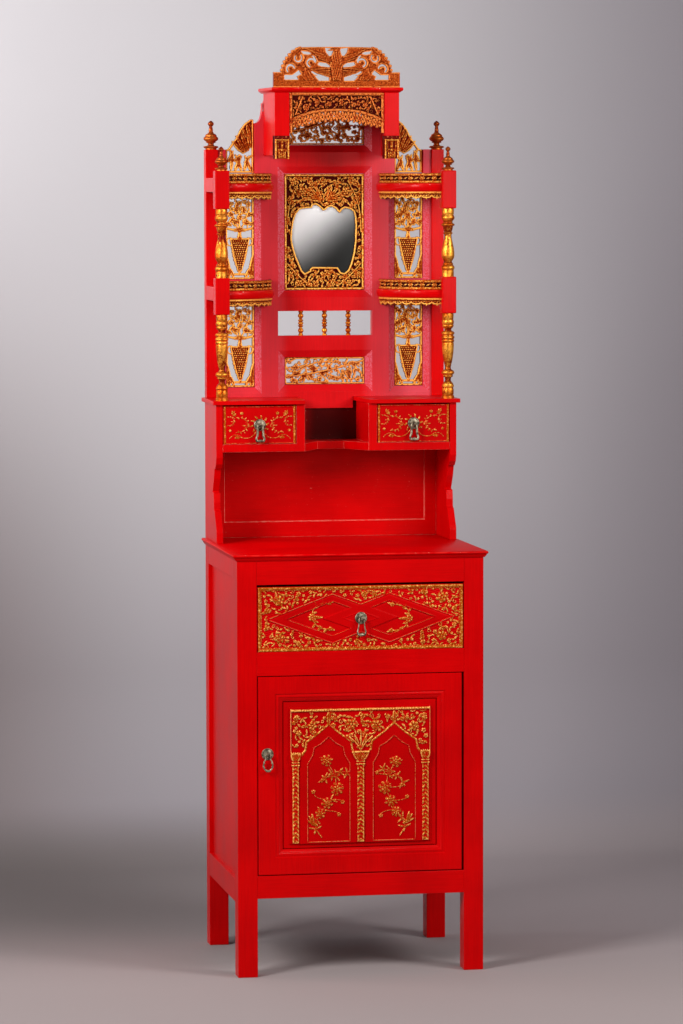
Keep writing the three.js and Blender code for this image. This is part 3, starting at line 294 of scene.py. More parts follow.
bare_lengthwise = bare_wood("bare_wood_lengthwise", ALONG_Y)
bare_sideways = bare_wood("bare_wood_sideways", ALONG_X)
for node in ("cupboard_floor", "drawer_board"):
    eased_copy(node, bare_sideways, 0.6)
for node in ("main_drawer_box", "left_drawer_box", "right_drawer_box"):
    eased_copy(node, bare_lengthwise, 0.6)

# Top board. One lacquered board over the legs, its front and side edges worked to a rounded nose over a
# hollow. It is pegged down, and the brackets of the alcove stand on it.
# Each row is how far the edge stands in from the board's widest line, and the height in shares.
NOSE_ROWS = [
    (2.2, 1.0), (0.7, 0.94), (0.0, 0.8), (0.3, 0.66), (1.6, 0.58), (2.6, 0.54), (3.4, 0.4), (4.8, 0.22), (6.6, 0.08),
    (7.2, 0.0),
]


def bridge(shape, rings, closed=False):
    """Joins each ring of corners to the next with faces, and where closed also the last to the first."""
    for ring, after in zip(rings, rings[1:] + (rings[:1] if closed else [])):
        for k in range(len(ring)):
            j = (k + 1) % len(ring)
            shape.faces.new((ring[k], ring[j], after[j], after[k]))


def straight_edges(low, high):
    """Outline of a board that is moulded along its front and its sides."""
    def outline(inset):
        left, right, front = low[0] + inset, high[0] - inset, low[1] + inset
        return [(left, front), (right, front), (right, high[1]), (left, high[1])]
    return outline


def nosed_board(name, outline, low, high, rows, finish, node):
    """A board whose edge follows rows of inset and height share. outline(inset) gives its corners."""
    shape = bmesh.new()
    wear = shape.verts.layers.float.new("wear")
    loops = []
    for inset, share in rows:
        height = (low + share * (high - low)) * MM
        loops.append([shape.verts.new((x * MM, y * MM, height)) for x, y in outline(inset)])
    shape.faces.new(loops[0])
    shape.faces.new(loops[-1][::-1])
    bridge(shape, loops)
    bmesh.ops.recalc_face_normals(shape, faces=shape.faces)
    for vertex in loops[1] + loops[2]:
        vertex[wear] = 1.0
    settle_shape(shape, name, finish, node, 50)


low, high = span("base_top")
lacquer_table = lacquer("lacquer_table", ALONG_X, shine=0.03)
nosed_board("base_top_board", straight_edges(low, high), low[2], high[2], NOSE_ROWS, lacquer_table, "base_top")

# Carved work. Each carving is one board, worked from the front: raised stems, leaves, blossoms and scrolls,
# either pierced right through or standing on a lowered ground, with gilding on what stands high.


def inside_line(x, z, line):
    """Whether each point lies within a closed line."""
    crossings = np.zeros(np.shape(x), bool)
    for (x0, z0), (x1, z1) in zip(line, np.roll(line, -1, 0)):
        straddles = (z0 > z) != (z1 > z)
        crossings ^= straddles & (x < (x1 - x0) * (z - z0) / (z1 - z0 + 1e-12) + x0)
    return crossings


def away_from_line(x, z, line):
    """Distance from each point to a closed line."""
    best = np.full(np.shape(x), 1e3)
    for (x0, z0), (x1, z1) in zip(line, np.roll(line, -1, 0)):
        length = (x1 - x0) ** 2 + (z1 - z0) ** 2 + 1e-9
        along = np.clip(((x - x0) * (x1 - x0) + (z - z0) * (z1 - z0)) / length, 0, 1)
        best = np.minimum(best, np.hypot(x - x0 - along * (x1 - x0), z - z0 - along * (z1 - z0)))
    return best


def half_round(share):
    """Height of a half round: 1 on its crown, at 0, and 0 at its edges, at -1 and 1, and beyond them."""
    return np.sqrt(np.clip(1 - share**2, 0, 1))


# The crown also sets the gilding's painted shade in hollows and its painted highlights on crests.
CROWN_RANGE = 3.0  # from the deepest hollow to the highest crest about a point, as the gilding sees it


class Carving:
    """Relief over a grid of points in millimetres. Without a ground the board is pierced between the forms."""

    def __init__(self, x, z, pitch, ground=None, seed=1):
        columns = round((x[1] - x[0]) / pitch) + 1
        rows = round((z[1] - z[0]) / pitch) + 1
        self.pitch = (x[1] - x[0]) / (columns - 1)
        self.x, self.z = np.meshgrid(np.linspace(*x, columns), np.linspace(*z, rows))
        self.height = np.full(self.x.shape, -9.0 if ground is None else ground)
        self.edge = np.full(self.x.shape, 9.0 if ground is None else -9.0)
        self.gilt = np.zeros(self.x.shape)
        self.random = np.random.default_rng(seed)

    def window(self, x0, x1, z0, z1):
        u, v = self.x[0], self.z[:, 0]
        rows = slice(max(np.searchsorted(v, z0) - 1, 0), np.searchsorted(v, z1) + 1)
        return rows, slice(max(np.searchsorted(u, x0) - 1, 0), np.searchsorted(u, x1) + 1)

    def lay(self, window, distance, height, gilt=1.0):
        """Adds a form where its distance is below zero, wherever it stands highest."""
        self.edge[window] = np.minimum(self.edge[window], distance)
        higher = (distance < 0) & (height > self.height[window])
        self.height[window][higher] = height[higher]
        self.gilt[window][higher] = gilt

    def sink(self, inside, height, gilt=0.0):
        """Lowers or raises the whole of a region to one height."""
        self.height[inside] = height
        self.gilt[inside] = gilt

    def stroke(self, points, radii, rise, base=0.0, gilt=1.0):
        """A rounded stem along points, its radius running from the first value to the last."""
        points = np.asarray(points, float)
        widths = np.linspace(radii[0], radii[1], len(points))
        for (x0, z0), (x1, z1), r0, r1 in zip(points, points[1:], widths, widths[1:]):
            reach = max(r0, r1) + self.pitch
            window = self.window(min(x0, x1) - reach, max(x0, x1) + reach, min(z0, z1) - reach, max(z0, z1) + reach)
            dx, dz = self.x[window] - x0, self.z[window] - z0
            length = max((x1 - x0) ** 2 + (z1 - z0) ** 2, 1e-6)
            along = np.clip((dx * (x1 - x0) + dz * (z1 - z0)) / length, 0, 1)
            radius = r0 + (r1 - r0) * along
            away = np.hypot(dx - along * (x1 - x0), dz - along * (z1 - z0))
            self.lay(window, away - radius, base + rise * half_round(away / radius), gilt)

    def curve(self, start, control, end, radii, rise, base=0.0, gilt=1.0, steps=8):
        shares = np.linspace(0, 1, steps)[:, None]
        start, control, end = (np.asarray(point, float) for point in (start, control, end))
        points = (1 - shares) ** 2 * start + 2 * shares * (1 - shares) * control + shares**2 * end
        self.stroke(points, radii, rise, base, gilt)
        return points

    def fill(self, line, rise, base=0.0, gilt=1.0, soft=3.0):
        """A form with a closed outline, rounded over towards its edge."""
        line = np.asarray(line, float)
        (x0, z0), (x1, z1) = line.min(0), line.max(0)
        window = self.window(x0 - 2, x1 + 2, z0 - 2, z1 + 2)
        away = away_from_line(self.x[window], self.z[window], line)
        inside = inside_line(self.x[window], self.z[window], line)
        crown = half_round(1 - np.clip(away / soft, 0, 1))
        self.lay(window, np.where(inside, -away, away), base + rise * (0.3 + 0.7 * crown), gilt)

    def scroll(self, x, z, radius, turn, thickness, rise, base=0.0):
        """A stem that winds inwards from its outer end, for nine tenths of a turn."""
        angles = np.linspace(0, 1.8 * math.pi, 14)
        reach = radius * (1 - 0.78 * angles / angles[-1])
        points = np.stack([x + reach * np.cos(turn + angles), z + reach * np.sin(turn + angles)], 1)
        self.stroke(points, (thickness, thickness * 0.6), rise, base)
        self.blossom(*points[-1], thickness * 1.25, rise, base, petals=0)

    def cut(self, line, radius=None):
        """Saws out a closed outline, or with a radius a slot of that half width along a line."""
        line = np.asarray(line, float)
        (x0, z0), (x1, z1) = line.min(0) - 4, line.max(0) + 4
        window = self.window(x0, x1, z0, z1)
        x, z = self.x[window], self.z[window]
        if radius is None:
            away = away_from_line(x, z, line)
            distance = np.where(inside_line(x, z, line), -away, away)
        else:
            distance = away_from_line(x, z, np.concatenate([line, line[-2:0:-1]])) - radius
        self.edge[window] = np.maximum(self.edge[window], -distance)

    def leaf(self, x, z, turn, length, breadth, rise, base=0.0, gilt=1.0):
        """A pointed leaf with a sunk vein, growing from a point."""
        window = self.window(x - length, x + length, z - length, z + length)
        dx, dz = self.x[window] - x, self.z[window] - z
        along = (dx * math.cos(turn) + dz * math.sin(turn)) / length
        side = -dx * math.sin(turn) + dz * math.cos(turn)
        half = breadth * np.sqrt(np.clip(4 * along * (1 - along), 0, 1)) * (1.15 - 0.5 * along) + 1e-3
        beyond = length * (np.clip(-along, 0, None) + np.clip(along - 1, 0, None))
        crown = half_round(side / half)
        vein = np.exp(-((side / (0.18 * breadth)) ** 2))
        self.lay(window, np.abs(side) - half + 3 * beyond, base + rise * (0.35 + 0.65 * crown - 0.4 * vein), gilt)

    def blossom(self, x, z, radius, rise, base=0.0, petals=5, turn=0.3, gilt=1.0):
        """Round petals about a raised button; with no petals, a plain bead."""
        window = self.window(x - radius, x + radius, z - radius, z + radius)
        dx, dz = self.x[window] - x, self.z[window] - z
        away = np.hypot(dx, dz)
        lobes = np.abs(np.cos(petals * (np.arctan2(dz, dx) - turn) / 2))
        reach = radius * (0.72 + 0.28 * lobes**0.8)
        share = np.clip(away / reach, 0, 1)
        cup = half_round(share)
        if petals:
            petal = 0.35 + 0.6 * np.sin(math.pi * share) * (0.45 + 0.55 * lobes)
            cup = np.where(share < 0.26, 1.0 - 2 * share**2, petal)
            cup = np.where((share > 0.26) & (share < 0.34), 0.25, cup)
        self.lay(window, away - reach, base + rise * cup, gilt)

    def rim(self, inset, width, rise, base, gilt=1.0):
        """A half-round rim of one width. inset is the distance of each point from the edge that it follows."""
        self.lay(np.s_[:, :], inset - width, base + rise * half_round(2 * inset / width - 1), gilt)

    def band(self, width, rise, base):
        """A rim that follows the edges of the whole carving, its own edges standing up a little."""
        x, z = self.x, self.z
        inset = np.minimum.reduce([x - x.min(), x.max() - x, z - z.min(), z.max() - z])
        self.rim(inset, width, 0.6 * rise, base + 0.4 * rise)

    def foliage(self, inside, spacing, size, rise, base=0.0, blossoms=0.25, gilt=1.0):
        """Covers a region with small leaves and blossoms, each turned at random."""
        for row in np.arange(self.z.min(), self.z.max(), spacing * 0.86):
            for column in np.arange(self.x.min(), self.x.max(), spacing):
                x, z = column + self.random.uniform(0, spacing), row + self.random.uniform(0, spacing * 0.6)
                turn, kind = self.random.uniform(0, 2 * math.pi), self.random.random()
                scale = self.random.uniform(0.75, 1.2)
                if not inside(x, z):
                    continue
                if kind < blossoms:
                    self.blossom(x, z, size * 0.62 * scale, rise * 1.15, base, turn=turn, gilt=gilt)
                elif kind < 0.85:
                    self.leaf(x, z, turn, size * 1.3 * scale, size * 0.36 * scale, rise, base, gilt)
                    self.leaf(x, z, turn + 2.3, size * 1.1 * scale, size * 0.3 * scale, rise * 0.85, base, gilt)
                else:
                    self.scroll(x, z, size * 0.6 * scale, turn, size * 0.14, rise, base)

    def mesh(self, name, place, back):
        """Closes the relief to one solid. place(x, z, height) gives points, and back is the rear's height."""
        centre = self.edge[:-1, :-1] + self.edge[1:, :-1] + self.edge[:-1, 1:] + self.edge[1:, 1:]
        solid = centre < 0
        padded = np.pad(solid, 1)
        full = padded[1:, 1:] & padded[:-1, 1:] & padded[1:, :-1] & padded[:-1, :-1]
        used = padded[1:, 1:] | padded[:-1, 1:] | padded[1:, :-1] | padded[:-1, :-1]
        rim = used & ~full
        rim[0], rim[-1], rim[:, 0], rim[:, -1] = False, False, False, False
        slope_z, slope_x = np.gradient(self.edge, self.pitch)
        steep = np.clip(slope_x**2 + slope_z**2, 0.3, None)
        shift = np.clip(self.edge / steep, -0.7 * self.pitch, 0.7 * self.pitch) * rim
        x, z = self.x - shift * slope_x, self.z - shift * slope_z
        number = np.cumsum(used).reshape(used.shape) - 1
        count = int(used.sum())
        front = np.stack(place(x[used], z[used], self.height[used]), 1)
        rear = np.stack(place(x[used], z[used], np.full(count, float(back))), 1)
        rows, columns = np.nonzero(solid)
        corners = [(rows, columns), (rows, columns + 1), (rows + 1, columns + 1), (rows + 1, columns)]
        face = np.stack([number[c] for c in corners], 1)
        faces = [face, face[:, ::-1] + count]
        beyond = (padded[:-2, 1:-1], padded[1:-1, 2:], padded[2:, 1:-1], padded[1:-1, :-2])
        for i, neighbour in enumerate(beyond):
            open_side = ~neighbour[rows, columns]
            a, b = face[open_side, i], face[open_side, (i + 1) % 4]
            faces.append(np.stack([b, a, a + count, b + count], 1))
        data = bpy.data.meshes.new(name)
        data.from_pydata(np.concatenate([front, rear]), [], np.concatenate(faces))
        floor = np.where(used, self.height, self.height[used].min())
        around = floor
        for axis in (0, 1, 0, 1):
            around = sum(np.roll(around, step, axis) for step in (-2, -1, 0, 1, 2)) / 5
        for label, values in (("gilt", self.gilt), ("crown", np.clip(0.5 + (floor - around) / CROWN_RANGE, 0, 1))):
            attribute = data.attributes.new(label, "FLOAT", "POINT")
            attribute.data.foreach_set("value", np.concatenate([values[used], values[used] * 0.0]).astype(np.float32))
        return finished_mesh(name, data, 60)


def over(node, pitch, ground=None, seed=1):
    """Lowest and highest corner of a solid, and a carving that covers its front."""
    low, high = span(node)
    return low, high, Carving((low[0], high[0]), (low[2], high[2]), pitch, ground, seed)


def settle_carving(carving, name, face, sunk, depth, finish, node):
    """Stands a carving upright. Its zero height lies sunk behind the face, and its rear lies depth behind it."""
    def place(x, z, height):
        return x * MM, (face + sunk - height) * MM, z * MM
    settle(carving.mesh(name, place, sunk - depth), finish, node)


MAROON = srgb(54, 2, 2)
# Pink of the painted highlights on rubbed crests.
RUBBED_PINK_HIGHLIGHT = srgb(236, 116, 84)


def carved(name, ground, gold, pale, shade, worn=1.36):
    """Gilding on what stands high, with the coloured ground in the depths and where the leaf is rubbed off. The leaf
    carries painted shade in its hollows and painted highlights, the pale colour, on its crests and flecks. A form
    that is only half gilded shows pink lines on its crests, painted highlights where the leaf is rubbed."""
    material, place = new_finish(name, Specular_IOR_Level=0.3, Specular_Tint=RED_SHEEN)
    gilt, crown = place.attribute("gilt"), place.attribute("crown")
    patch = place.noise(130.0, 4.0, 0.65)
    nick = place.noise(330.0, 2.0)
    flake = place.noise(620.0, 3.0, 0.7)
    grit = place.noise(1100.0, 2.0)
    leafed = (crown * 0.9 + patch * 0.5 + flake * 0.5 + gilt * 0.6).between(worn, worn + 0.14) * gilt.between(0.02, 0.2)
    # Painted shade and highlights: low tone, in hollows, takes the shade colour; high tone, on crests and flecks, the
    # pale one.
    tone = crown * 0.55 + flake * 0.5 + nick * 0.7
    leaf = tone.between(0.95, 1.08).mix(tone.between(0.7, 0.92).mix(shade, gold), pale)
    # Pink on the crests of half-gilded forms: painted highlights where the leaf is rubbed.
    leaf = (gilt.between(0.85, 0.6) * patch.between(0.4, 0.6)).mix(leaf, RUBBED_PINK_HIGHLIGHT)
    red = place.noise(8.0, 3.0).between(0.35, 0.7).mix((*[0.8 * value for value in ground[:3]], 1.0), ground)
    feed(
        material,
        Base_Color=leafed.mix(red, leaf),
        Metallic=leafed * 0.3,
        Roughness=0.3 + patch * 0.2 + grit * 0.08,
        Normal=(grit * 0.2 + (flake * 0.5 + nick) * gilt).bump(0.5, 0.0012),
    )
    return material


# Each carved finish takes a ground, a gold, a pale painted highlight, a painted shade, and how worn it is.
carved_red = carved("carved_on_red", srgb(204, 0, 3), srgb(178, 90, 10), srgb(255, 188, 98), srgb(116, 30, 3), 1.46)
carved_maroon = carved("carved_on_maroon", MAROON, srgb(184, 76, 10), srgb(255, 192, 88), srgb(80, 12, 2))
carved_open = carved("carved_open", srgb(90, 8, 4), srgb(172, 68, 8), srgb(252, 184, 82), srgb(70, 10, 2), 1.4)


# Main drawer's front. A red board with a gilded rounded border. Two lozenges with bevelled edges cross behind
# the pull, each with a sprig on its lowered field, and small gilded leaves and blossoms fill the ground outside.
DRAWER_RELIEF, DRAWER_BORDER = 2.4, 6.5
LOZENGE_SHIFT, LOZENGE_HALF, LOZENGE_RISE, LOZENGE_INNER = 62.5, 145.0, 54.0, 0.69
drawer_low, drawer_high, front = over("main_drawer_front", 1.0, -DRAWER_RELIEF, 3)
drawer_middle = (drawer_low + drawer_high) / 2


def lozenge_share(x, z, side):
    """1 on the edge of one lozenge, and less inside it."""
    return np.abs(x - side * LOZENGE_SHIFT) / LOZENGE_HALF + np.abs(z - drawer_middle[2]) / LOZENGE_RISE


def outside_lozenges(x, z):
    within = abs(x) < drawer_high[0] - 9 and abs(z - drawer_middle[2]) < 61
    return within and min(lozenge_share(x, z, -1), lozenge_share(x, z, 1)) > 1.05


across, up = np.abs(front.x), np.abs(front.z - drawer_middle[2])
HATCH_SPACING, HATCH_LEAN, HATCH_RISE = 4.4, 0.3, 0.8
hatch = np.abs(np.sin((HATCH_LEAN * across + up) * math.pi / HATCH_SPACING)) ** 6
front.height += HATCH_RISE * hatch
front.gilt[:] = 0.5 * (hatch > 0.3)
front.foliage(outside_lozenges, 10.5, 6.6, DRAWER_RELIEF, -DRAWER_RELIEF, 0.35)
for side_x in (-1, 1):
    for side_z in (-1, 1):
        for x, z, radius in ((178, 41, 12.0), (136, 54, 6.0), (206, 18, 6.0)):
            front.blossom(side_x * x, drawer_middle[2] + side_z * z, radius, 2.8, -DRAWER_RELIEF, petals=6)
    front.blossom(side_x * 8, drawer_middle[2] + side_x * 52, 8.0, 2.6, -DRAWER_RELIEF)
lozenges = [lozenge_share(front.x, front.z, side) for side in (-1, 1)]
front.sink(np.minimum(*lozenges) < 1.0, -0.5)
RIDGE_HEIGHT, GROOVE_DEPTH, GROOVE_WIDTH, GROOVE_SHIFT = 0.8, 0.7, 1.2, 0.055


def ridge_on(lozenge, share, where):
    """Raises a thin half-gilded line at one share of a lozenge."""
    ridge = np.exp(-(((lozenge - share) * LOZENGE_RISE) ** 2)) * where
    front.height += RIDGE_HEIGHT * ridge
    front.gilt = np.maximum(front.gilt, 0.5 * (ridge > 0.4))
for lozenge in lozenges:
    front.sink((lozenge < LOZENGE_INNER) & (np.maximum(*lozenges) > 1.0), -DRAWER_RELIEF)
for lozenge, other in (lozenges, lozenges[::-1]):
    for share in (LOZENGE_INNER, 0.98):
        ridge_on(lozenge, share, other > 0.98)
        groove = np.exp(-(((lozenge - share + GROOVE_SHIFT) * LOZENGE_RISE / GROOVE_WIDTH) ** 2)) * (other > 0.98)
        front.height -= GROOVE_DEPTH * groove
    ridge_on(lozenge, LOZENGE_INNER, other < LOZENGE_INNER)


def leaning(lean, side):
    """A lean to the right of upright or, with side below zero, the same lean to the left."""
    return lean if side > 0 else math.pi - lean


def sprig(carving, x, z, size, way, rise, base, stem=1.0, gilt=0.8):
    """Two bent stems from a large blossom, with leaves and buds along them."""
    for lean, bend, end in ((1, (-0.1, 0.8), (0.95, 0.8)), (-1, (0.2, -0.75), (1.0, -0.65))):
        control, tip = [(x + way * u * size, z + v * size) for u, v in (bend, end)]
        spots = carving.curve((x, z), control, tip, (stem, stem * 0.7), rise, base, gilt)
        for i, spot in enumerate(spots[1:]):
            turn = leaning(lean * (0.3 + 1.9 * (i % 2)), way)
            carving.leaf(*spot, turn, size * 0.28, size * 0.075, rise, base, gilt)
        carving.blossom(*spots[-1], size * 0.14, rise, base, gilt=gilt)
        carving.blossom(*spots[4], size * 0.11, rise, base, gilt=gilt)
    carving.leaf(x, z, leaning(0.0, way), size * 0.6, size * 0.09, rise, base, gilt)
    carving.blossom(x, z, size * 0.24, rise * 1.3, base, petals=7, gilt=gilt)


for side in (-1, 1):
    sprig(front, side * 106, drawer_middle[2] - side * 3, 39.0, -side, 2.2, -DRAWER_RELIEF, 1.4, 0.92)
front.band(DRAWER_BORDER, 2.6, -2.0)
BEAD_STEP, bead_inset = 3.6, DRAWER_BORDER + 1
bead_x, bead_z = drawer_high[0] - bead_inset, (drawer_high[2] - drawer_low[2]) / 2 - bead_inset
for side in (-1, 1):
    for x in np.arange(-bead_x, bead_x, BEAD_STEP):
        front.blossom(x, drawer_middle[2] + side * bead_z, 1.5, 1.6, -1.6, petals=0)
    for z in np.arange(-bead_z, bead_z, BEAD_STEP):
        front.blossom(side * bead_x, drawer_middle[2] + z, 1.5, 1.6, -1.6, petals=0)
drawer_depth = drawer_high[1] - drawer_low[1] + 0.4
settle_carving(
    front, "main_drawer_carved_front", drawer_low[1], 0.4, drawer_depth, carved_red, "main_drawer_front"
)

# Door. A framed door whose frame has a stepped moulding round the opening, mitred at the corners, and turns
# on two wooden pins. The carved panel is let in from behind.
frame_low, frame_high = span("door_frame")
PIN_LENGTH, PIN_RADIUS = 12.0, 4.0
door_z = (frame_low[2] + PIN_LENGTH, frame_high[2] - PIN_LENGTH)
# Each row is the distance in from the door's edge and the depth behind its face.
FRAME_ROWS = [
    (0.0, 22.0), (0.0, 1.2), (1.2, 0.0), (36.0, 0.0), (37.2, 0.4), (37.8, 1.8), (39.5, 2.2), (42.0, 1.2), (44.5, 1.4),
    (46.0, 3.0), (47.2, 3.4), (50.5, 5.2), (53.2, 6.6), (54.0, 7.0), (54.0, 22.0),
]
WORN_ROWS = (1, 2, 7)
DOOR_HINGE = 3  # the hinge's place in the part's list of joints
shape = bmesh.new()
wear = shape.verts.layers.float.new("wear")
loops = []
for inset, depth in FRAME_ROWS:
    left, right, bottom, top = frame_low[0] + inset, frame_high[0] - inset, door_z[0] + inset, door_z[1] - inset
    corners = [(left, bottom), (right, bottom), (right, top), (left, top)]
    loops.append([shape.verts.new((x * MM, (frame_low[1] + depth) * MM, z * MM)) for x, z in corners])
bridge(shape, loops, closed=True)
for row in WORN_ROWS:
    for vertex in loops[row]:
        vertex[wear] = 0.8
bmesh.ops.recalc_face_normals(shape, faces=shape.faces)
pivot_x, pivot_y, _ = frame["joints"][DOOR_HINGE]["pos_m"]
for pin_z in ((frame_low[2], door_z[0] + 1), (door_z[1] - 1, frame_high[2])):
    bmesh.ops.create_cone(
        shape, cap_ends=True, segments=24, radius1=PIN_RADIUS * MM, radius2=PIN_RADIUS * MM,
        depth=(pin_z[1] - pin_z[0]) * MM, matrix=Matrix.Translation((pivot_x, pivot_y, sum(pin_z) / 2 * MM)),
    )
settle_shape(shape, "door_framing", lacquer_upright, "door_frame", 30)

# The door's panel: two cusped arches on three gilded columns wound with leaves. Blossoms fill the spandrels,
# and a flowering spray stands on the lowered field of each arch.
DOOR_RELIEF = 2.6
FIELD_X, FIELD_Z, LINE_Z = (-155.0, 154.0), (286.5, 583.0), 576.5
SPRING_Z, PANEL_FLOOR = 475.0, 289.5
ARCH_CENTRES = (-70.5, 73.5)
# Each row is the distance from the arch's middle and the height over the spring line.
OUTER_ARCH = [(0.0, 71.0), (24.5, 50.5), (48.5, 33.0), (51.5, 15.0), (63.0, 0.0)]
INNER_ARCH = [(0.0, 44.0), (17.0, 29.0), (32.0, 21.0), (35.5, 4.0), (46.5, -15.0)]
INNER_HALF = INNER_ARCH[-1][0]
panel_low, panel_high, panel = over("door_panel", 1.0, -5.0, 5)
within = (panel.x > FIELD_X[0]) & (panel.x < FIELD_X[1])
within &= (panel.z > FIELD_Z[0]) & (panel.z < FIELD_Z[1])
panel.sink(within, -DOOR_RELIEF)
OPENING, GAP_WIDTH, GAP_FLOOR = FRAME_ROWS[-1][0], 2.2, -9.0
shadow_gap = np.minimum.reduce([
    panel.x - frame_low[0] - OPENING, frame_high[0] - OPENING - panel.x,
    panel.z - door_z[0] - OPENING, door_z[1] - OPENING - panel.z,
])
panel.sink(shadow_gap < GAP_WIDTH, GAP_FLOOR)


def arch_top(x, centre, rows):
    return SPRING_Z + np.interp(np.abs(x - centre), *np.transpose(rows), right=-400.0)


def in_spandrels(x, z):
    top = max(arch_top(x, centre, OUTER_ARCH) for centre in ARCH_CENTRES)
    return FIELD_X[0] + 7 < x < FIELD_X[1] - 7 and max(top + 4, SPRING_Z + 20) < z < LINE_Z - 5


for centre in ARCH_CENTRES:
    plate = within & (panel.z < arch_top(panel.x, centre, OUTER_ARCH))
    panel.sink(plate, -1.0)
    inner = plate & (np.abs(panel.x - centre) < INNER_HALF) & (panel.z > PANEL_FLOOR)
    panel.sink(inner & (panel.z < arch_top(panel.x, centre, INNER_ARCH)), -DOOR_RELIEF)
panel.foliage(in_spandrels, 12.5, 8.0, DOOR_RELIEF, -DOOR_RELIEF, 0.2, 0.9)
for x, z, radius in (
    (-106, 543, 10.5), (-21, 545, 13), (33.5, 542, 12), (117, 538, 12), (-63, 559, 6), (78, 562, 6),
    (101.5, 557, 5.5), (-136, 528, 7), (140, 556, 7), (-140, 562, 6), (4, 562, 6.5), (-3, 528, 6),
):
    panel.blossom(x, z, radius, 3.4, -DOOR_RELIEF, petals=6, turn=x)
floor = PANEL_FLOOR - SPRING_Z + 1
INNER_EDGE = INNER_ARCH + [(INNER_HALF, floor), (0.0, floor)]
for centre in ARCH_CENTRES:
    for way in (-1, 1):
        for rows, radii, rise, base, gilt in (
            (OUTER_ARCH, (2.2, 2.8), 1.2, -1.0, 0.86), (INNER_EDGE, (0.9, 0.9), 0.8, -1.1, 0.56),
        ):
            panel.stroke([(centre + way * x, SPRING_Z + z) for x, z in rows], radii, rise, base, gilt)
    panel.leaf(centre, SPRING_Z + 70, math.pi / 2, 30.0, 5.0, 3.0, -DOOR_RELIEF)
panel.stroke([(FIELD_X[0] + 4, LINE_Z), (FIELD_X[1] - 4, LINE_Z)], (2.8, 2.8), 1.8, -0.8, 0.76)
for x in np.arange(FIELD_X[0] + 6, FIELD_X[1] - 4, 5.5):
    panel.blossom(x, LINE_Z, 2.2, 1.6, 0.0, petals=0, gilt=0.9)
for x in FIELD_X:
    line_x = x + math.copysign(2.0, -x)
    panel.stroke([(line_x, SPRING_Z), (line_x, LINE_Z + 3)], (0.9, 0.9), 1.0, -1.0, 0.6)

# Each spray's stem, its blossoms, its buds, its side twig, and the lean of the leaves at its foot.
SPRAYS = (
    (
        [(-86, 300), (-99, 318), (-97, 338), (-84, 358), (-66, 382), (-53, 405), (-56, 432), (-75, 467)],
        [(-75, 467, 10.5), (-52, 405, 12), (-74, 374, 10.5), (-89, 352, 9.5)],
        [(-48, 349), (-82.5, 426), (-104, 400), (-40, 376)], [(-86, 420), (-60, 449), (-30, 440)], 2.2,
    ),
    (
        [(86, 300), (97, 318), (92, 338), (77, 356), (66, 376), (54, 405), (60, 434), (77, 461)],
        [(77, 461, 10.5), (53, 405, 12), (66, 376, 10.5), (78, 352, 9.5)],
        [(44, 344), (90, 410), (36, 438), (102, 384)], [(40, 445), (72, 448), (92, 415)], 0.9,
    ),
)
SPRAY_GILT = 0.84
for stem, blossoms, buds, twig, lean in SPRAYS:
    for shift in (-5, 0, 5):
        panel.leaf(stem[1][0] + shift, stem[1][1] + 8, lean + 0.1 * shift, 27.0, 3.8, 2.6, -DOOR_RELIEF, 0.98)
    panel.stroke(stem, (1.3, 0.9), 1.7, -DOOR_RELIEF, SPRAY_GILT)
    twig_points = panel.curve(*twig, (1.0, 0.8), 1.5, -DOOR_RELIEF, SPRAY_GILT)
    for i, (x, z) in enumerate(stem[1:] + [tuple(point) for point in twig_points[1::2]]):
        for turn, length in ((0.5, 15.0), (1.6, 11.0), (2.9, 16.0), (4.4, 12.0)):
            panel.leaf(x, z, turn + i, length, 2.3, 1.8, -DOOR_RELIEF, SPRAY_GILT)
    for x, z in buds:
        near = min(stem, key=lambda spot: math.hypot(spot[0] - x, spot[1] - z))
        panel.curve(near, (x, near[1]), (x, z), (0.9, 0.7), 1.4, -DOOR_RELIEF, SPRAY_GILT)
        panel.blossom(x, z, 5.0, 2.0, -DOOR_RELIEF, gilt=SPRAY_GILT)
    for x, z, radius in blossoms:
        panel.blossom(x, z, radius * 1.25, 2.6, -DOOR_RELIEF, petals=7, turn=z, gilt=SPRAY_GILT)
        panel.blossom(x, z, radius * 0.8, 3.4, -DOOR_RELIEF, petals=6, turn=x)


def wound_column(carving, x, z0, z1, half, capital):
    """A half-round shaft wound with slanting leaves, with a ringed neck and a spreading leafy capital."""
    window = carving.window(x - half, x + half, z0, z1)
    across, up = (carving.x[window] - x) / half, carving.z[window]
    shaft = half_round(across)
    leaf_row = np.cos(2 * math.pi * (up / 13 + 0.5 * np.abs(across)))
    winding = 0.5 + 0.5 * leaf_row * np.cos(2 * math.pi * (up / 26 + 0.2 * across))
    carving.lay(window, (np.abs(across) - 1) * half, 1.0 * shaft - 0.6 + 2.0 * winding, 0.86)
    for ring_z, reach in ((z1 - 9, half + 0.5), (z1 - 3, half)):
        carving.stroke([(x - reach, ring_z), (x + reach, ring_z)], (1.8, 1.8), 2.0, 0.6, 0.9)
    for i in range(-2, 3):
        carving.leaf(x + i * half * 0.3, z1, math.pi / 2 - i * 0.1 * capital / half, 20.0, 4.2, 3.2, 0.0, 0.92)


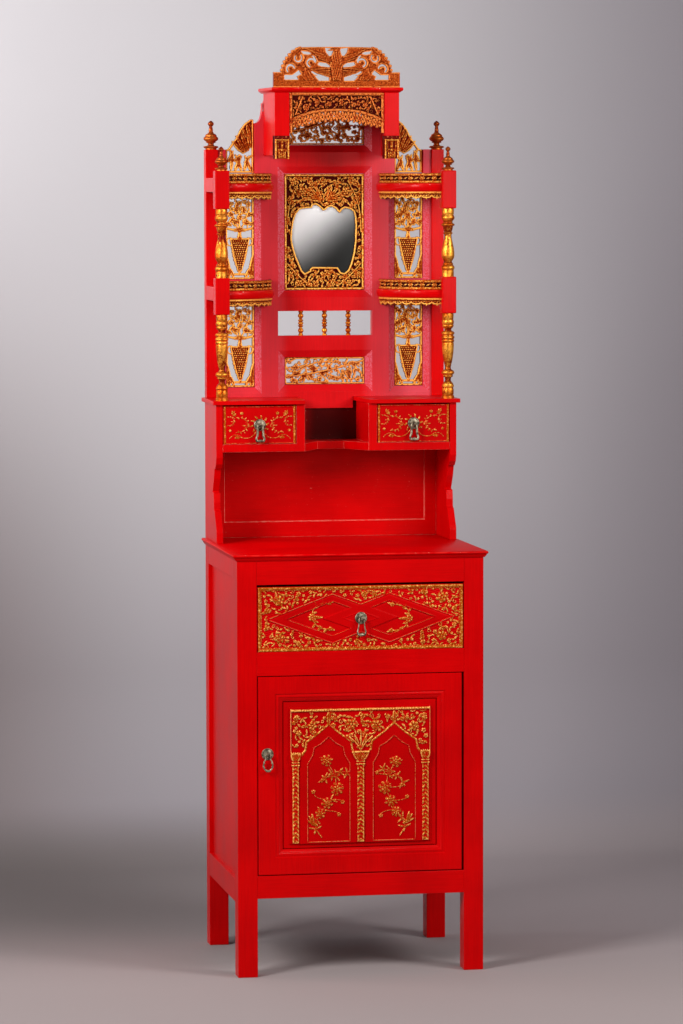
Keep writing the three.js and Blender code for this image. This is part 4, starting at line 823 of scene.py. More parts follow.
for x, half, capital in ((-143.0, 7.0, 9.0), (-0.5, 7.8, 26.0), (142.0, 7.0, 9.0)):
    wound_column(panel, x, PANEL_FLOOR, SPRING_Z - 8, half, capital)
panel.stroke([(-17, SPRING_Z + 9), (16, SPRING_Z + 9)], (3.0, 3.0), 2.6, 0.2, 0.95)
for i in range(-2, 3):
    tip = (i * 13, SPRING_Z + 50 - 4 * abs(i))
    panel.curve((-0.5, SPRING_Z + 12), (i * 5, SPRING_Z + 34), tip, (1.8, 1.2), 2.6, -1.4, 0.9)
    panel.leaf(i * 8, SPRING_Z + 30, math.pi / 2 - i * 0.3, 18.0, 2.8, 2.8, -1.6, 0.95)
panel_depth = panel_high[1] - panel_low[1]
settle_carving(panel, "door_carved_panel", panel_low[1], 0.6, panel_depth, carved_red, "door_panel")

# Small drawers' fronts: red boards with a gilded border, wide at the ends, and thin flowering sprigs about a
# ring of curls behind the pull.
SIDES = (("left", -1), ("right", 1))
for side_name, side in SIDES:
    low, high, small = over(side_name + "_drawer_front", 0.9, 0.0, 11 + side)
    x, _, z = (low + high) / 2
    for way in (-1, 1):
        sprig(small, x + way * 27, z - 1, 21.0, way, 1.4, 0.0, 0.8)
        sprig(small, x + way * 57, z + 8, 13.0, way, 1.3, 0.0, 0.8)
        small.curve((x + way * 9, z - 16), (x + way * 20, z - 37), (x + way * 52, z - 24), (0.9, 0.8), 1.2)
        small.curve((x + way * 40, z - 27), (x + way * 56, z - 14), (x + way * 68, z - 30), (0.8, 0.7), 1.2)
        for lean in (0.5, 1.1, 1.9, 2.6):
            small.leaf(x + way * 61, z + 24, lean + way, 9.0, 2.4, 1.4)
            small.leaf(x + way * 50, z - 25, -lean, 7.0, 1.8, 1.3)
        small.blossom(x + way * 40, z + 26, 4.0, 1.6)
        small.blossom(x + way * 66, z - 12, 3.4, 1.5)
    for i in range(10):
        turn = 2 * math.pi * i / 10
        small.leaf(x + 14 * math.cos(turn), z + 14 * math.sin(turn), turn + 0.5, 9.0, 2.2, 1.3)
    ends = np.minimum(small.x - low[0], high[0] - small.x)
    edges = np.minimum(small.z - low[2], high[2] - small.z)
    for inset, width, gilt in ((edges, 3.2, 0.72), (ends, 6.0, 1.0)):
        small.sink(inset < width, 0.0)
        small.rim(inset, width, 1.4, -0.5, gilt)
    name, node = side_name + "_drawer_carved_front", side_name + "_drawer_front"
    settle_carving(small, name, low[1], 1.3, high[1] - low[1], carved_red, node)

# Pulls. Cast brass, gone brown and green: a domed round plate with a beaded rim, an eye on it, and a bail that
# hangs in the eye and swings up to be pulled.
brass, place = new_finish("aged_brass", Metallic=0.85, Specular_IOR_Level=0.5)
patch, grit = place.noise(160.0, 4.0), place.noise(900.0, 2.0)
browned = patch.between(0.35, 0.68).mix(srgb(76, 68, 54), srgb(186, 172, 146))
feed(
    brass,
    Base_Color=(grit.between(0.5, 0.7) * 0.5).mix(browned, srgb(86, 100, 78)),
    Roughness=0.36 + patch * 0.25,
    Normal=(patch + grit * 0.4).bump(0.5, 0.0006),
)


def circle(sides):
    """Cosine and sine of evenly spread turns."""
    return [(math.cos(2 * math.pi * k / sides), math.sin(2 * math.pi * k / sides)) for k in range(sides)]


def lathe(shape, profile, matrix, sides):
    """Turns a profile of (radius, height) rows in millimetres about the local Z axis, closed at both ends."""
    crown = shape.verts.layers.float.get("crown") or shape.verts.layers.float.new("crown")
    widest = max(radius for radius, _ in profile)
    rings = []
    for radius, height in profile:
        corners = [matrix @ Vector((radius * u, radius * v, height)) * MM for u, v in circle(sides)]
        rings.append([shape.verts.new(corner) for corner in corners])
        for vertex in rings[-1]:
            vertex[crown] = radius / widest
    bridge(shape, rings)
    shape.faces.new(rings[0][::-1])
    shape.faces.new(rings[-1])


def wire(shape, points, radii, across, sides):
    """A closed loop of wire. radii gives its half thickness at each point, and across points out of its plane, its
    length the wire's breadth that way."""
    rings = []
    for i, (point, radius) in enumerate(zip(points, radii)):
        out = np.cross(np.subtract(points[(i + 1) % len(points)], points[i - 1]), across)
        out /= np.linalg.norm(out)
        corners = [np.add(point, radius * (u * out + v * np.array(across))) * MM for u, v in circle(sides)]
        rings.append([shape.verts.new(Vector(corner)) for corner in corners])
    bridge(shape, rings, closed=True)
    bmesh.ops.recalc_face_normals(shape, faces=shape.faces)


PLATE_ROWS = [
    (12.6, 0.0), (13.0, 0.5), (12.7, 1.3), (11.9, 1.7), (11.2, 1.4), (10.6, 1.0), (9.4, 1.2), (7.6, 2.0), (5.4, 2.5),
    (3.6, 2.6),
]
EYE_FOOT_ROWS = [(3.4, 2.0), (3.0, 4.4), (2.4, 5.4), (2.4, 6.4)]
EYE_RADIUS, EYE_WIRE, EYE_STANDS_OUT = 3.3, 1.35, 8.4
BEADS, BEAD_RING, BEAD_RADIUS = 20, 10.9, 0.8
# Each bail's sides from the top down, as share of the drop, share of the half width and half thickness, and then
# how high its foot's middle line lies, its half thickness and what its centre adds to it.
OPEN_SIDES = [(0.16, 0.46, 1.3), (0.4, 0.52, 1.3), (0.62, 0.6, 1.4), (0.8, 0.74, 1.7), (0.9, 0.72, 2.0)]
HEAVY_SIDES = [(0.14, 0.5, 2.2), (0.4, 0.52, 2.4), (0.66, 0.56, 2.6), (0.84, 0.76, 2.4)]
RING_SIDES = [
    (0.3, 0.42, 1.7), (0.42, 0.7, 1.4), (0.52, 0.72, 2.3), (0.64, 0.86, 1.5), (0.76, 0.78, 2.3), (0.88, 0.66, 1.5),
    (0.95, 0.4, 2.2),
]
BAIL_SHAPES = {
    "main_drawer": (OPEN_SIDES, (2.6, 2.5, 1.3)), "door": (RING_SIDES, (2.4, 2.2, 0.4)),
    "left_drawer": (HEAVY_SIDES, (3.0, 2.8, 1.0)), "right_drawer": (HEAVY_SIDES, (3.0, 2.8, 1.0)),
}
for prefix, (widths, (foot_rise, foot_gauge, foot_swell)) in BAIL_SHAPES.items():
    low, high = span(prefix + "_backplate")
    x, z, face = (low[0] + high[0]) / 2, (low[2] + high[2]) / 2, high[1]
    shape = bmesh.new()
    forward = Matrix.Translation((x, face, z)) @ Matrix.Rotation(math.pi / 2, 4, "X")
    lathe(shape, PLATE_ROWS, forward, 40)
    lathe(shape, EYE_FOOT_ROWS, forward, 20)
    eye = [(x, face - EYE_STANDS_OUT + EYE_RADIUS * u, z + EYE_RADIUS * v) for u, v in circle(17)]
    wire(shape, eye, [EYE_WIRE] * len(eye), (1.4, 0, 0), 8)
    for u, v in circle(BEADS):
        spot = Matrix.Translation(Vector((x + BEAD_RING * u, face - 1.6, z + BEAD_RING * v)) * MM)
        bmesh.ops.create_icosphere(shape, subdivisions=1, radius=BEAD_RADIUS * MM, matrix=spot)
    bmesh.ops.recalc_face_normals(shape, faces=shape.faces)
    settle_shape(shape, prefix + "_plate", brass, prefix + "_backplate", 40)

    low, high = span(prefix + "_bail")
    bar, drop, half = 4.6, high[2] - low[2] - 4.2, (high[0] - low[0]) / 2
    side_path = [(half * width, z - drop * share, gauge) for share, width, gauge in widths]
    path = [(share * bar, z, 1.5) for share in np.linspace(-1, 1, 5)] + side_path
    for share in (0.8, 0.4, 0.0, -0.4, -0.8):
        gauge = foot_gauge + foot_swell * (1 - abs(share)) ** 2
        path.append((share * side_path[-1][0], low[2] + foot_rise, gauge))
    path += [(-reach, height, gauge) for reach, height, gauge in side_path[::-1]]
    points = [(x + reach, (low[1] + high[1]) / 2, height) for reach, height, _ in path]
    shape = bmesh.new()
    wire(shape, points, [gauge for _, _, gauge in path], (0, 1, 0), 10)
    bmesh.ops.subdivide_edges(shape, edges=shape.edges, cuts=1, smooth=0.6)
    settle_shape(shape, prefix + "_swinging_bail", brass, prefix + "_bail", 60)

# Rear posts with their side stretchers, and the front columns. Square stock left red at the joints; between the
# joints the columns are turned and gilded over red, as are all four finials.


def gilding(name, worn, gold=srgb(186, 78, 10), pale=srgb(255, 178, 66)):
    """Burnished gilding, worn down to red-brown in the necks and in patches."""
    material, place = new_finish(name, Specular_IOR_Level=0.3, Specular_Tint=RED_SHEEN)
    patch = place.scaled((1.0, 1.0, 0.5)).noise(70.0, 4.0, 0.6)
    rub = place.noise(240.0, 4.0, 0.65)
    leafed = (patch * 0.6 + rub * 0.5 + place.attribute("crown") * 0.35).between(worn, worn + 0.16)
    tone = (place.noise(48.0, 3.0) * 0.7 + rub * 0.4).between(0.4, 0.75)
    feed(
        material,
        Base_Color=leafed.mix(srgb(108, 16, 3), tone.mix(gold, pale)),
        Metallic=leafed * 0.5 + 0.25,
        Roughness=0.26 + rub * 0.24,
        Normal=(rub + place.noise(1000.0, 2.0) * 0.3).bump(0.3, 0.0007),
    )
    return material


gilt_turning = gilding("gilt_turning", 0.69)
browned_finial = gilding("browned_finial", 0.6, srgb(158, 70, 20), srgb(216, 122, 52))


def moulded(rows, radius, height):
    """Profile from rows of (height share, radius share, bulge to the next row), from the bottom up."""
    profile = []
    for (z0, r0, bulge), (z1, r1, _) in zip(rows, rows[1:]):
        steps = 6 if bulge else 1
        for i in range(steps):
            share = i / steps
            swell = bulge * math.sin(math.pi * share)
            profile.append(((r0 + (r1 - r0) * share + swell) * radius, (z0 + (z1 - z0) * share) * height))
    profile.append((rows[-1][1] * radius, rows[-1][0] * height))
    return profile


LOWER_ROWS = [
    (0.0, 0.96, 0), (0.03, 0.96, 0), (0.035, 0.84, 0.06), (0.12, 0.84, 0), (0.125, 0.8, 0), (0.13, 0.86, 0.08),
    (0.155, 0.86, 0), (0.165, 0.85, 0.03), (0.2, 0.5, -0.03), (0.225, 0.45, 0), (0.245, 0.5, 0), (0.25, 0.66, 0.12),
    (0.275, 0.66, 0), (0.28, 0.84, 0.15), (0.325, 0.84, 0), (0.335, 0.58, -0.05), (0.365, 0.45, 0), (0.42, 0.6, 0.02),
    (0.5, 0.78, 0.02), (0.6, 0.9, 0.01), (0.65, 0.9, 0), (0.655, 0.86, 0.12), (0.695, 0.86, 0), (0.7, 0.94, 0.08),
    (0.73, 0.94, 0), (0.735, 0.84, 0), (0.745, 0.84, 0), (0.75, 0.92, 0.1), (0.78, 0.92, 0), (0.795, 0.55, -0.04),
    (0.82, 0.58, 0), (0.835, 0.8, 0.08), (0.865, 0.82, 0), (0.87, 0.86, 0.06), (0.92, 0.86, 0), (0.925, 0.8, 0),
    (0.935, 0.84, 0.02), (1.0, 0.86, 0),
]
UPPER_ROWS = [
    (0.0, 0.9, 0), (0.09, 0.9, 0), (0.095, 0.86, 0), (0.1, 0.9, 0.12), (0.16, 0.9, 0), (0.17, 0.78, 0.04),
    (0.2, 0.74, 0), (0.21, 0.62, -0.02), (0.235, 0.68, 0), (0.27, 0.9, 0.04), (0.33, 0.98, 0.02), (0.38, 0.95, 0.02),
    (0.45, 0.84, 0.01), (0.55, 0.6, -0.02), (0.62, 0.56, 0), (0.625, 0.64, 0.1), (0.65, 0.64, 0), (0.655, 0.56, 0.04),
    (0.74, 0.78, 0), (0.745, 0.92, 0.11), (0.775, 0.92, 0), (0.785, 0.74, -0.04), (0.82, 0.74, 0), (0.83, 0.88, 0.13),
    (0.9, 0.88, 0), (0.91, 0.84, 0), (0.92, 0.9, 0.03), (1.0, 0.88, 0),
]
FINIAL_ROWS = [
    (0.0, 0.72, 0), (0.04, 0.72, 0), (0.05, 0.86, 0.14), (0.12, 0.84, 0), (0.13, 0.5, -0.08), (0.22, 0.4, 0),
    (0.23, 0.56, 0.1), (0.26, 0.56, 0), (0.27, 0.62, 0.3), (0.46, 0.74, 0.12), (0.56, 0.4, -0.06), (0.66, 0.28, 0),
    (0.74, 0.24, 0), (0.79, 0.2, 0), (0.8, 0.2, 0.28), (1.0, 0.04, 0),
]
SPINDLE_HALF = [
    (0.0, 0.8, 0), (0.06, 0.8, 0), (0.07, 0.62, 0.0), (0.1, 0.56, 0.42), (0.3, 0.56, 0.0), (0.33, 0.5, 0),
    (0.36, 0.7, 0.25), (0.42, 0.7, 0),
]
SPINDLE_ROWS = SPINDLE_HALF + [
    (0.44, 0.6, 0.36), (0.56, 0.6, 0), (0.58, 0.7, 0.25), (0.64, 0.7, 0), (0.67, 0.5, 0), (0.7, 0.56, 0.42),
    (0.9, 0.56, 0), (0.93, 0.62, 0), (0.94, 0.8, 0), (1.0, 0.8, 0),
]


def turn_on(shape, rows, radius, height, place, z):
    lathe(shape, moulded(rows, radius, height), Matrix.Translation((place[0], place[1], z)), 40)


BLOCK_BANDS = ((189.0, 270.0), (421.0, 505.0))
FINIAL_HEIGHT = 53.0
TURNING_RADIUS = 14.4
POST_OUTSIDE, POST_SIZE = 270.0, 28.0
POST_FINIAL_RADIUS, POST_FINIAL_HEIGHT = 17.0, 64.0
STRETCHER_TOPS, STRETCHER_WIDTH, STRETCHER_HEIGHT = (489.0, 250.0), 15.0, 31.0
for side_name, side in SIDES:
    node = side_name + "_front_column"
    low, high = span(node)
    middle, base = (low + high) / 2, low[2]
    shape = bmesh.new()
    for z0, z1 in BLOCK_BANDS:
        add_block(shape, (low[0], low[1], base + z0), (high[0], high[1], base + z1))
    ease(shape, 2.2 * MM)
    settle_shape(shape, side_name + "_column_blocks", lacquer_upright, node)
    shape = bmesh.new()
    (lower, lower_top), (upper, upper_top) = BLOCK_BANDS
    turn_on(shape, LOWER_ROWS, TURNING_RADIUS, lower, middle, base)
    turn_on(shape, UPPER_ROWS, TURNING_RADIUS, upper - lower_top, middle, base + lower_top)
    settle_shape(shape, side_name + "_column_turnings", gilt_turning, node, 32)
    shape = bmesh.new()
    turn_on(shape, FINIAL_ROWS, TURNING_RADIUS, FINIAL_HEIGHT, middle, base + upper_top)
    settle_shape(shape, side_name + "_column_finial", browned_finial, node, 32)

    node = side_name + "_rear_post"
    low, high = span(node)
    rear, finial_z = high[1] - (POST_FINIAL_RADIUS - POST_SIZE / 2), high[2] - POST_FINIAL_HEIGHT
    x0, x1 = sorted((side * POST_OUTSIDE, side * (POST_OUTSIDE - POST_SIZE)))
    shape = bmesh.new()
    add_block(shape, (x0, rear - POST_SIZE, low[2]), (x1, rear, finial_z))
    stretcher_x = sorted((side * POST_OUTSIDE, side * (POST_OUTSIDE - STRETCHER_WIDTH)))
    for z in (low[2] + top for top in STRETCHER_TOPS):
        front, back = low[1], rear - POST_SIZE + 1
        add_block(shape, (stretcher_x[0], front, z - STRETCHER_HEIGHT), (stretcher_x[1], back, z))
    ease(shape, 1.2 * MM)
    settle_shape(shape, side_name + "_post_timber", lacquer_upright, node)
    shape = bmesh.new()
    post_middle = ((x0 + x1) / 2, rear - POST_SIZE / 2)
    turn_on(shape, FINIAL_ROWS, POST_FINIAL_RADIUS, POST_FINIAL_HEIGHT, post_middle, finial_z)
    settle_shape(shape, side_name + "_post_finial", browned_finial, node, 32)

# Back frame and its spindles. Rails and stiles framed up flat, with a bevel worked round every opening; three
# small gilded spindles stand in the open window under the mirror.
# The back frame carries a painted pink sheen on its bevels and towards its ends.
eased_copy("back_frame", lacquer("lacquer_frame", ALONG_Z, painted_sheen=True), 0.9)
SPINDLE_RADIUS = 6.4
for node in ("left_spindle", "middle_spindle", "right_spindle"):
    low, high = span(node)
    shape = bmesh.new()
    turn_on(shape, SPINDLE_ROWS, SPINDLE_RADIUS, high[2] - low[2], (low + high) / 2, low[2])
    settle_shape(shape, node + "_turning", gilt_turning, node, 40)

# Wing panels. Pierced gilded boards in a thin border, each with a footed vase of beaded strings, a saucer over its
# neck, a dense bunch of blossoms above, and pointed leaves that stand beside the foot.
FRET_RISE, FRET_SUNK, FRET_DEPTH = 3.0, 3.0, 7.0


def by_share(x, z, width, height):
    """Gives the point that lies at each share of a width and a height."""
    def at(u, v):
        return np.array([x + u * width, z + v * height])
    return at


def wing_panel(node):
    low, high, carving = over(node, 0.8, seed=len(node))
    middle, bottom, width, height = (low[0] + high[0]) / 2, low[2], high[0] - low[0], high[2] - low[2]
    at = by_share(middle, bottom, width, height)

    def vase_half(v):
        return np.interp(v, [0.1, 0.13, 0.18, 0.25, 0.33, 0.42, 0.48], [0.06, 0.1, 0.16, 0.22, 0.27, 0.31, 0.29])

    def in_bunch(x, z):
        u, v = abs(x - middle) / width, (z - bottom) / height
        return 0.645 < v < 0.97 and u < 0.42

    rows = np.linspace(0.1, 0.48, 12)
    body = [at(vase_half(v), v) for v in rows] + [at(-vase_half(v), v) for v in rows[::-1]]
    carving.fill(body, 1.4, -0.4, 0.95, 5.0)
    for i, v in enumerate(np.arange(0.125, 0.47, 0.026)):
        reach = vase_half(v) * width - 1.5
        for dx in np.arange(-reach + (i % 2) * 2.4, reach + 0.5, 4.8):
            carving.blossom(middle + dx, at(0, v)[1], 2.3, 2.8, 0.2, petals=0)
    for way in (-1, 1):
        carving.curve(at(way * 0.06, 0.1), at(way * 0.2, 0.28), at(way * 0.32, 0.48), (1.5, 1.5), 3.2, 0.4)
    carving.stroke([at(-0.3, 0.485), at(0.3, 0.485)], (2.6, 2.6), 2.8, 0.6)
    carving.stroke([at(0, 0.49), at(0, 0.53)], (6.0, 4.4), 2.6)
    carving.stroke([at(0, 0.53), at(0, 0.6)], (4.0, 3.4), 2.6)
    carving.stroke([at(-0.44, 0.615), at(-0.2, 0.595), at(0.2, 0.595), at(0.44, 0.615)], (2.8, 2.8), 3.0, 0.6)
    carving.stroke([at(-0.16, 0.595), at(0.16, 0.595)], (4.2, 4.2), 2.4, 0.4)
    carving.stroke([at(0, 0.06), at(0, 0.12)], (3.2, 3.0), 2.8)
    carving.stroke([at(-0.16, 0.06), at(0.16, 0.06)], (2.8, 2.8), 2.6)
    carving.foliage(in_bunch, 9.2, 7.4, FRET_RISE, 0.0, 0.5)
    for u, v, bend in ((0.12, 0.97, -0.1), (0.36, 0.93, 0.3), (-0.38, 0.94, -0.3), (-0.16, 0.97, 0.06)):
        carving.curve(at(0.2 * u, 0.62), at(bend, 0.76), at(u, v), (1.5, 1.1), FRET_RISE + 0.4)
    for way in (-1, 1):
        carving.curve(at(way * 0.3, 0.5), at(way * 0.5, 0.5), at(way * 0.42, 0.42), (1.6, 1.6), FRET_RISE)
        carving.curve(at(way * 0.42, 0.42), at(way * 0.34, 0.39), at(way * 0.26, 0.42), (1.6, 1.2), FRET_RISE)
        for u, v, lean, length, breadth in ((0.37, 0.02, 1.45, 52, 6.0), (0.2, 0.02, 1.15, 26, 4.0)):
            carving.leaf(*at(way * u, v), leaning(lean, way), length, breadth, FRET_RISE)
        for u, v, radius in (
            (0.2, 0.7, 7.2), (0.34, 0.785, 6.8), (0.15, 0.84, 6.6), (0.32, 0.91, 6.4), (0.38, 0.67, 5.2),
        ):
            carving.blossom(*at(way * u, v), radius, 4.0, turn=way * u * 9)
    carving.blossom(*at(0, 0.745), 7.0, 4.2, petals=6)
    carving.blossom(*at(0, 0.92), 6.0, 4.0, petals=5)
    carving.band(4.6, 2.4, 0.4)
    settle_carving(carving, node + "_carving", low[1], FRET_SUNK, FRET_DEPTH, carved_open, node)


for side_name in ("left", "right"):
    for level in ("lower", "upper"):
        wing_panel(f"{side_name}_{level}_wing_fretwork")

# Wing crests. Leafy pierced half gables over the wings, high against the middle and low at the posts, with one
# large cluster of leaves over an open foot.


def wing_crest(node, side):
    low, high, carving = over(node, 0.8, seed=21)
    at = by_share(low[0] if side > 0 else high[0], low[2], side * (high[0] - low[0]), high[2] - low[2])
    cluster = [
        (0.05, 0.97), (0.2, 0.95), (0.36, 0.84), (0.52, 0.66), (0.7, 0.52), (0.56, 0.42), (0.36, 0.36), (0.16, 0.42),
        (0.06, 0.6),
    ]
    carving.fill([at(u, v) for u, v in cluster], 1.4, -0.8, 0.85)
    gable = [
        (0.96, 0.03), (0.96, 0.42), (0.86, 0.44), (0.74, 0.53), (0.56, 0.66), (0.44, 0.8), (0.28, 0.91), (0.1, 0.98),
    ]
    for line, radius in (([(0.04, 0.02), (0.04, 0.98)], 2.2), ([(0.03, 0.03), (0.97, 0.03)], 2.6), (gable, 2.4)):
        carving.stroke([at(u, v) for u, v in line], (radius, radius), 2.4)
    for u, v, lean, length, breadth in (
        (0.12, 0.46, 1.45, 40, 5), (0.2, 0.42, 1.2, 46, 5), (0.3, 0.4, 1.05, 42, 5), (0.4, 0.4, 0.8, 34, 5),
        (0.12, 0.66, 1.3, 32, 5), (0.24, 0.66, 1.15, 24, 4), (0.1, 0.05, 1.2, 38, 4.5), (0.34, 0.05, 1.9, 36, 4.5),
        (0.42, 0.05, 1.2, 40, 4.5), (0.66, 0.05, 2.0, 36, 4.5), (0.8, 0.05, 1.7, 40, 4), (0.9, 0.2, 2.0, 30, 4),
        (0.7, 0.3, 1.1, 22, 4), (0.54, 0.2, 0.6, 24, 3.6), (0.3, 0.22, 2.4, 22, 3.6),
    ):
        carving.leaf(*at(u, v), leaning(lean, side), length, breadth, 2.6, 0.4)
    for u, v, radius in ((0.5, 0.3, 6.5), (0.26, 0.2, 5.5), (0.78, 0.24, 5.0), (0.3, 0.56, 5.5)):
        carving.blossom(*at(u, v), radius, 3.4, 0.2)
    settle_carving(carving, node + "_carving", low[1], FRET_SUNK, FRET_DEPTH, carved_open, node)


wing_crest("left_wing_crest", -1)
wing_crest("right_wing_crest", 1)

# Long pierced panels under the window and at the back of the canopy: slanting branches with small blossoms and
# pointed leaves inside a gilded border.
carved_branches = carved(
    "carved_branches", srgb(80, 6, 3), srgb(158, 56, 8), srgb(240, 158, 74), srgb(66, 10, 2), 1.42
)


def branch_panel(node, seed, spacing):
    low, high, carving = over(node, 0.85, seed=seed)
    height = high[2] - low[2]
    at = by_share(low[0], low[2], high[0] - low[0], height)

    def inside_border(x, z):
        return low[0] + 5 < x < high[0] - 5 and low[2] + 5 < z < high[2] - 5

    stem = carving.curve(at(0.02, 0.3), at(0.4, 0.36), at(0.98, 0.86), (2.8, 2.0), FRET_RISE + 0.8, steps=30)
    for start, control, end, radii in (
        ((0.1, 0.34), (0.36, 0.95), (0.62, 0.82), (2.0, 1.4)), ((0.5, 0.44), (0.7, 0.12), (0.98, 0.2), (2.0, 1.4)),
        ((0.3, 0.36), (0.3, 0.1), (0.52, 0.08), (1.8, 1.3)),
    ):
        carving.curve(at(*start), at(*control), at(*end), radii, FRET_RISE)
    carving.foliage(inside_border, spacing, 8.4, FRET_RISE, 0.0, 0.4)
    for i in range(2, 28, 3):
        way = 1 if i % 2 else -1
        carving.leaf(*stem[i], way * (0.8 + 0.3 * carving.random.random()), 0.3 * height, 3.0, FRET_RISE)
    for u, v, radius in (
        (0.12, 0.62, 5.5), (0.34, 0.66, 6.5), (0.56, 0.62, 6.0), (0.78, 0.42, 6.0), (0.86, 0.74, 5.5), (0.2, 0.16, 5.0),
        (0.66, 0.2, 5.5),
    ):
        carving.blossom(*at(u, v), radius, 4.0, petals=6, turn=u * 20)
    carving.band(4.2, 2.0, 0.4)
    settle_carving(carving, node + "_carving", low[1], FRET_SUNK, FRET_DEPTH, carved_branches, node)


branch_panel("lower_fretwork", 31, 10.4)
branch_panel("canopy_back_fretwork", 37, 9.8)

# Mirror surround. A gilded board, deeply carved with blossoms and leaves on a maroon ground, with a raised rim
# round the shaped opening for the glass.
low, high, surround = over("mirror_fretwork", 0.95, -4.6, 41)
mirror_width, mirror_height = high[0] - low[0], high[2] - low[2]
GLASS_LINE = [
    (-56, 1649), (-64, 1638), (-69, 1623), (-72, 1604), (-73, 1583), (-70, 1566), (-64, 1546), (-57, 1529),
    (-50, 1513), (-44, 1507), (-33, 1513), (-32, 1517), (-27, 1521), (30, 1520.5), (33, 1517), (38, 1509),
    (45.5, 1507), (54, 1513.5), (61, 1530), (67, 1554), (70, 1579), (71, 1613), (70, 1631), (67, 1644), (60, 1649.5),
    (47.5, 1652), (40.5, 1648), (36, 1641), (31, 1644.5), (27, 1650.5), (16, 1656), (8, 1653), (3, 1648), (-2, 1646),
    (-6.5, 1651), (-12, 1656), (-19, 1660), (-25.5, 1658), (-28, 1652), (-36, 1652), (-46, 1651.5),
]
rim_away = away_from_line(surround.x, surround.z, GLASS_LINE)
glass_inside = inside_line(surround.x, surround.z, GLASS_LINE)
RIM = 4.2


def on_surround(x, z):
    spot = np.array([x]), np.array([z])
    clear = low[0] + 6 < x < high[0] - 6 and low[2] + 6 < z < high[2] - 6
    return clear and not inside_line(*spot, GLASS_LINE)[0] and away_from_line(*spot, GLASS_LINE)[0] > RIM + 2


surround.foliage(on_surround, 10.0, 8.6, 4.0, -4.4, 0.36)
for side in (-1, 1):
    for u, v, radius in (
        (0.1, 0.8, 8.5), (0.27, 0.85, 9.5), (0.16, 0.92, 7.5), (0.38, 0.93, 8), (0.42, 0.79, 7), (0.1, 0.05, 7.5),
        (0.31, 0.06, 8.5), (0.43, 0.14, 6.5), (0.45, 0.62, 4.5), (0.45, 0.36, 5.0),
    ):
        surround.blossom(side * u * mirror_width, low[2] + v * mirror_height, radius, 5.4, -4.2, petals=6, turn=u * 20)
    for lean, length in ((0.5, 44), (0.85, 40), (1.2, 34), (0.15, 40)):
        surround.leaf(side * 6, low[2] + 0.77 * mirror_height, leaning(lean, side), length, 5.0, 5.0, -4.0)
    for stem in (((30, 9), (60, 30), (84, 60)), ((84, 130), (84, 200), (60, 232))):
        surround.curve(*[(side * x, low[2] + z) for x, z in stem], (1.8, 1.4), 4.4, -4.0)
surround.blossom(0, low[2] + 0.93 * mirror_height, 9, 5.6, -4.2, petals=7)
surround.rim(np.where(glass_inside, 2 * RIM, rim_away), RIM, 2.8, -1.6)
surround.band(5.2, 2.8, -1.6)
surround.edge = np.where(glass_inside, rim_away, -np.minimum(rim_away, 3.0))
settle_carving(surround, "mirror_surround", low[1], 2.0, 7.0, carved_maroon, "mirror_fretwork")

# Mirror glass. Silvered plate behind the surround, a little cloudy with age. Its colour is a painted reflection of
# the dim studio in front of the cabinet: light at the upper left and dark at the lower right.
glass, place = new_finish("silvered_glass", Metallic=0.1, Specular_IOR_Level=0.12)
fall = place.node("VectorMath", {"operation": "DOT_PRODUCT"}, {0: place, 1: (6.4, 0.0, -7.7)}, "Value")
haze = place.noise(9.0, 2.0)
# Painted reflection: light at the upper left, dark at the lower right.
rest = (fall + 12.32 + haze * 0.2 - 0.1).between(0.86, -0.7)
painted_reflection = 1.0 - rest * rest
feed(glass, Base_Color=painted_reflection.mix(srgb(243, 243, 242), srgb(16, 15, 12)), Roughness=0.1 + haze * 0.1)
glass_finishes = frame["nodes"]["mirror_glass"].data.materials
glass_finishes.clear()
glass_finishes.append(glass)

# Quarter-round shelves. A red board with a rounded nose on brackets that do not show; a low gallery stands
# on it, its openings closed by a maroon ground that is painted shade, and a gilded band with a pierced scalloped
# apron hangs under it.
SHELF_CORNER_X, SHELF_REACH, SHELF_PROJECTION = 255.0, 137.0, 135.0
frame_face = span("back_frame")[0][1]
SHELF_NOSE = [
    (3.2, 1.0), (1.4, 0.95), (0.3, 0.82), (0.0, 0.6), (0.3, 0.38), (1.4, 0.2), (3.2, 0.1), (5.0, 0.08), (5.0, 0.0),
]
ARC_STEPS = 40


def shelf_point(side, inset, turn):
    x = side * (SHELF_CORNER_X - (SHELF_REACH - inset) * np.cos(turn))
    return x, frame_face - (SHELF_PROJECTION - inset) * np.sin(turn)


def shelf_outline(side):
    """Corners of the board: the rear outer corner, then round the curve."""
    def outline(inset):
        points = [(side * SHELF_CORNER_X, frame_face)]
        points += [shelf_point(side, inset, turn) for turn in np.linspace(0, math.pi / 2, ARC_STEPS)]
        return points
    return outline


quarter_turns = np.linspace(0, math.pi / 2, 200)
arc_x, arc_y = shelf_point(1, 5.0, quarter_turns)
arc_run = np.concatenate([[0], np.cumsum(np.hypot(np.diff(arc_x), np.diff(arc_y)))])


def bent_place(side, inset):
    """Bends a strip round the shelf, its height standing out from the curve."""
    def place(run, z, height):
        turn = np.interp(run, arc_run, quarter_turns)
        x, y = shelf_point(side, inset - height, turn)
        return x * MM, y * MM, z * MM
    return place


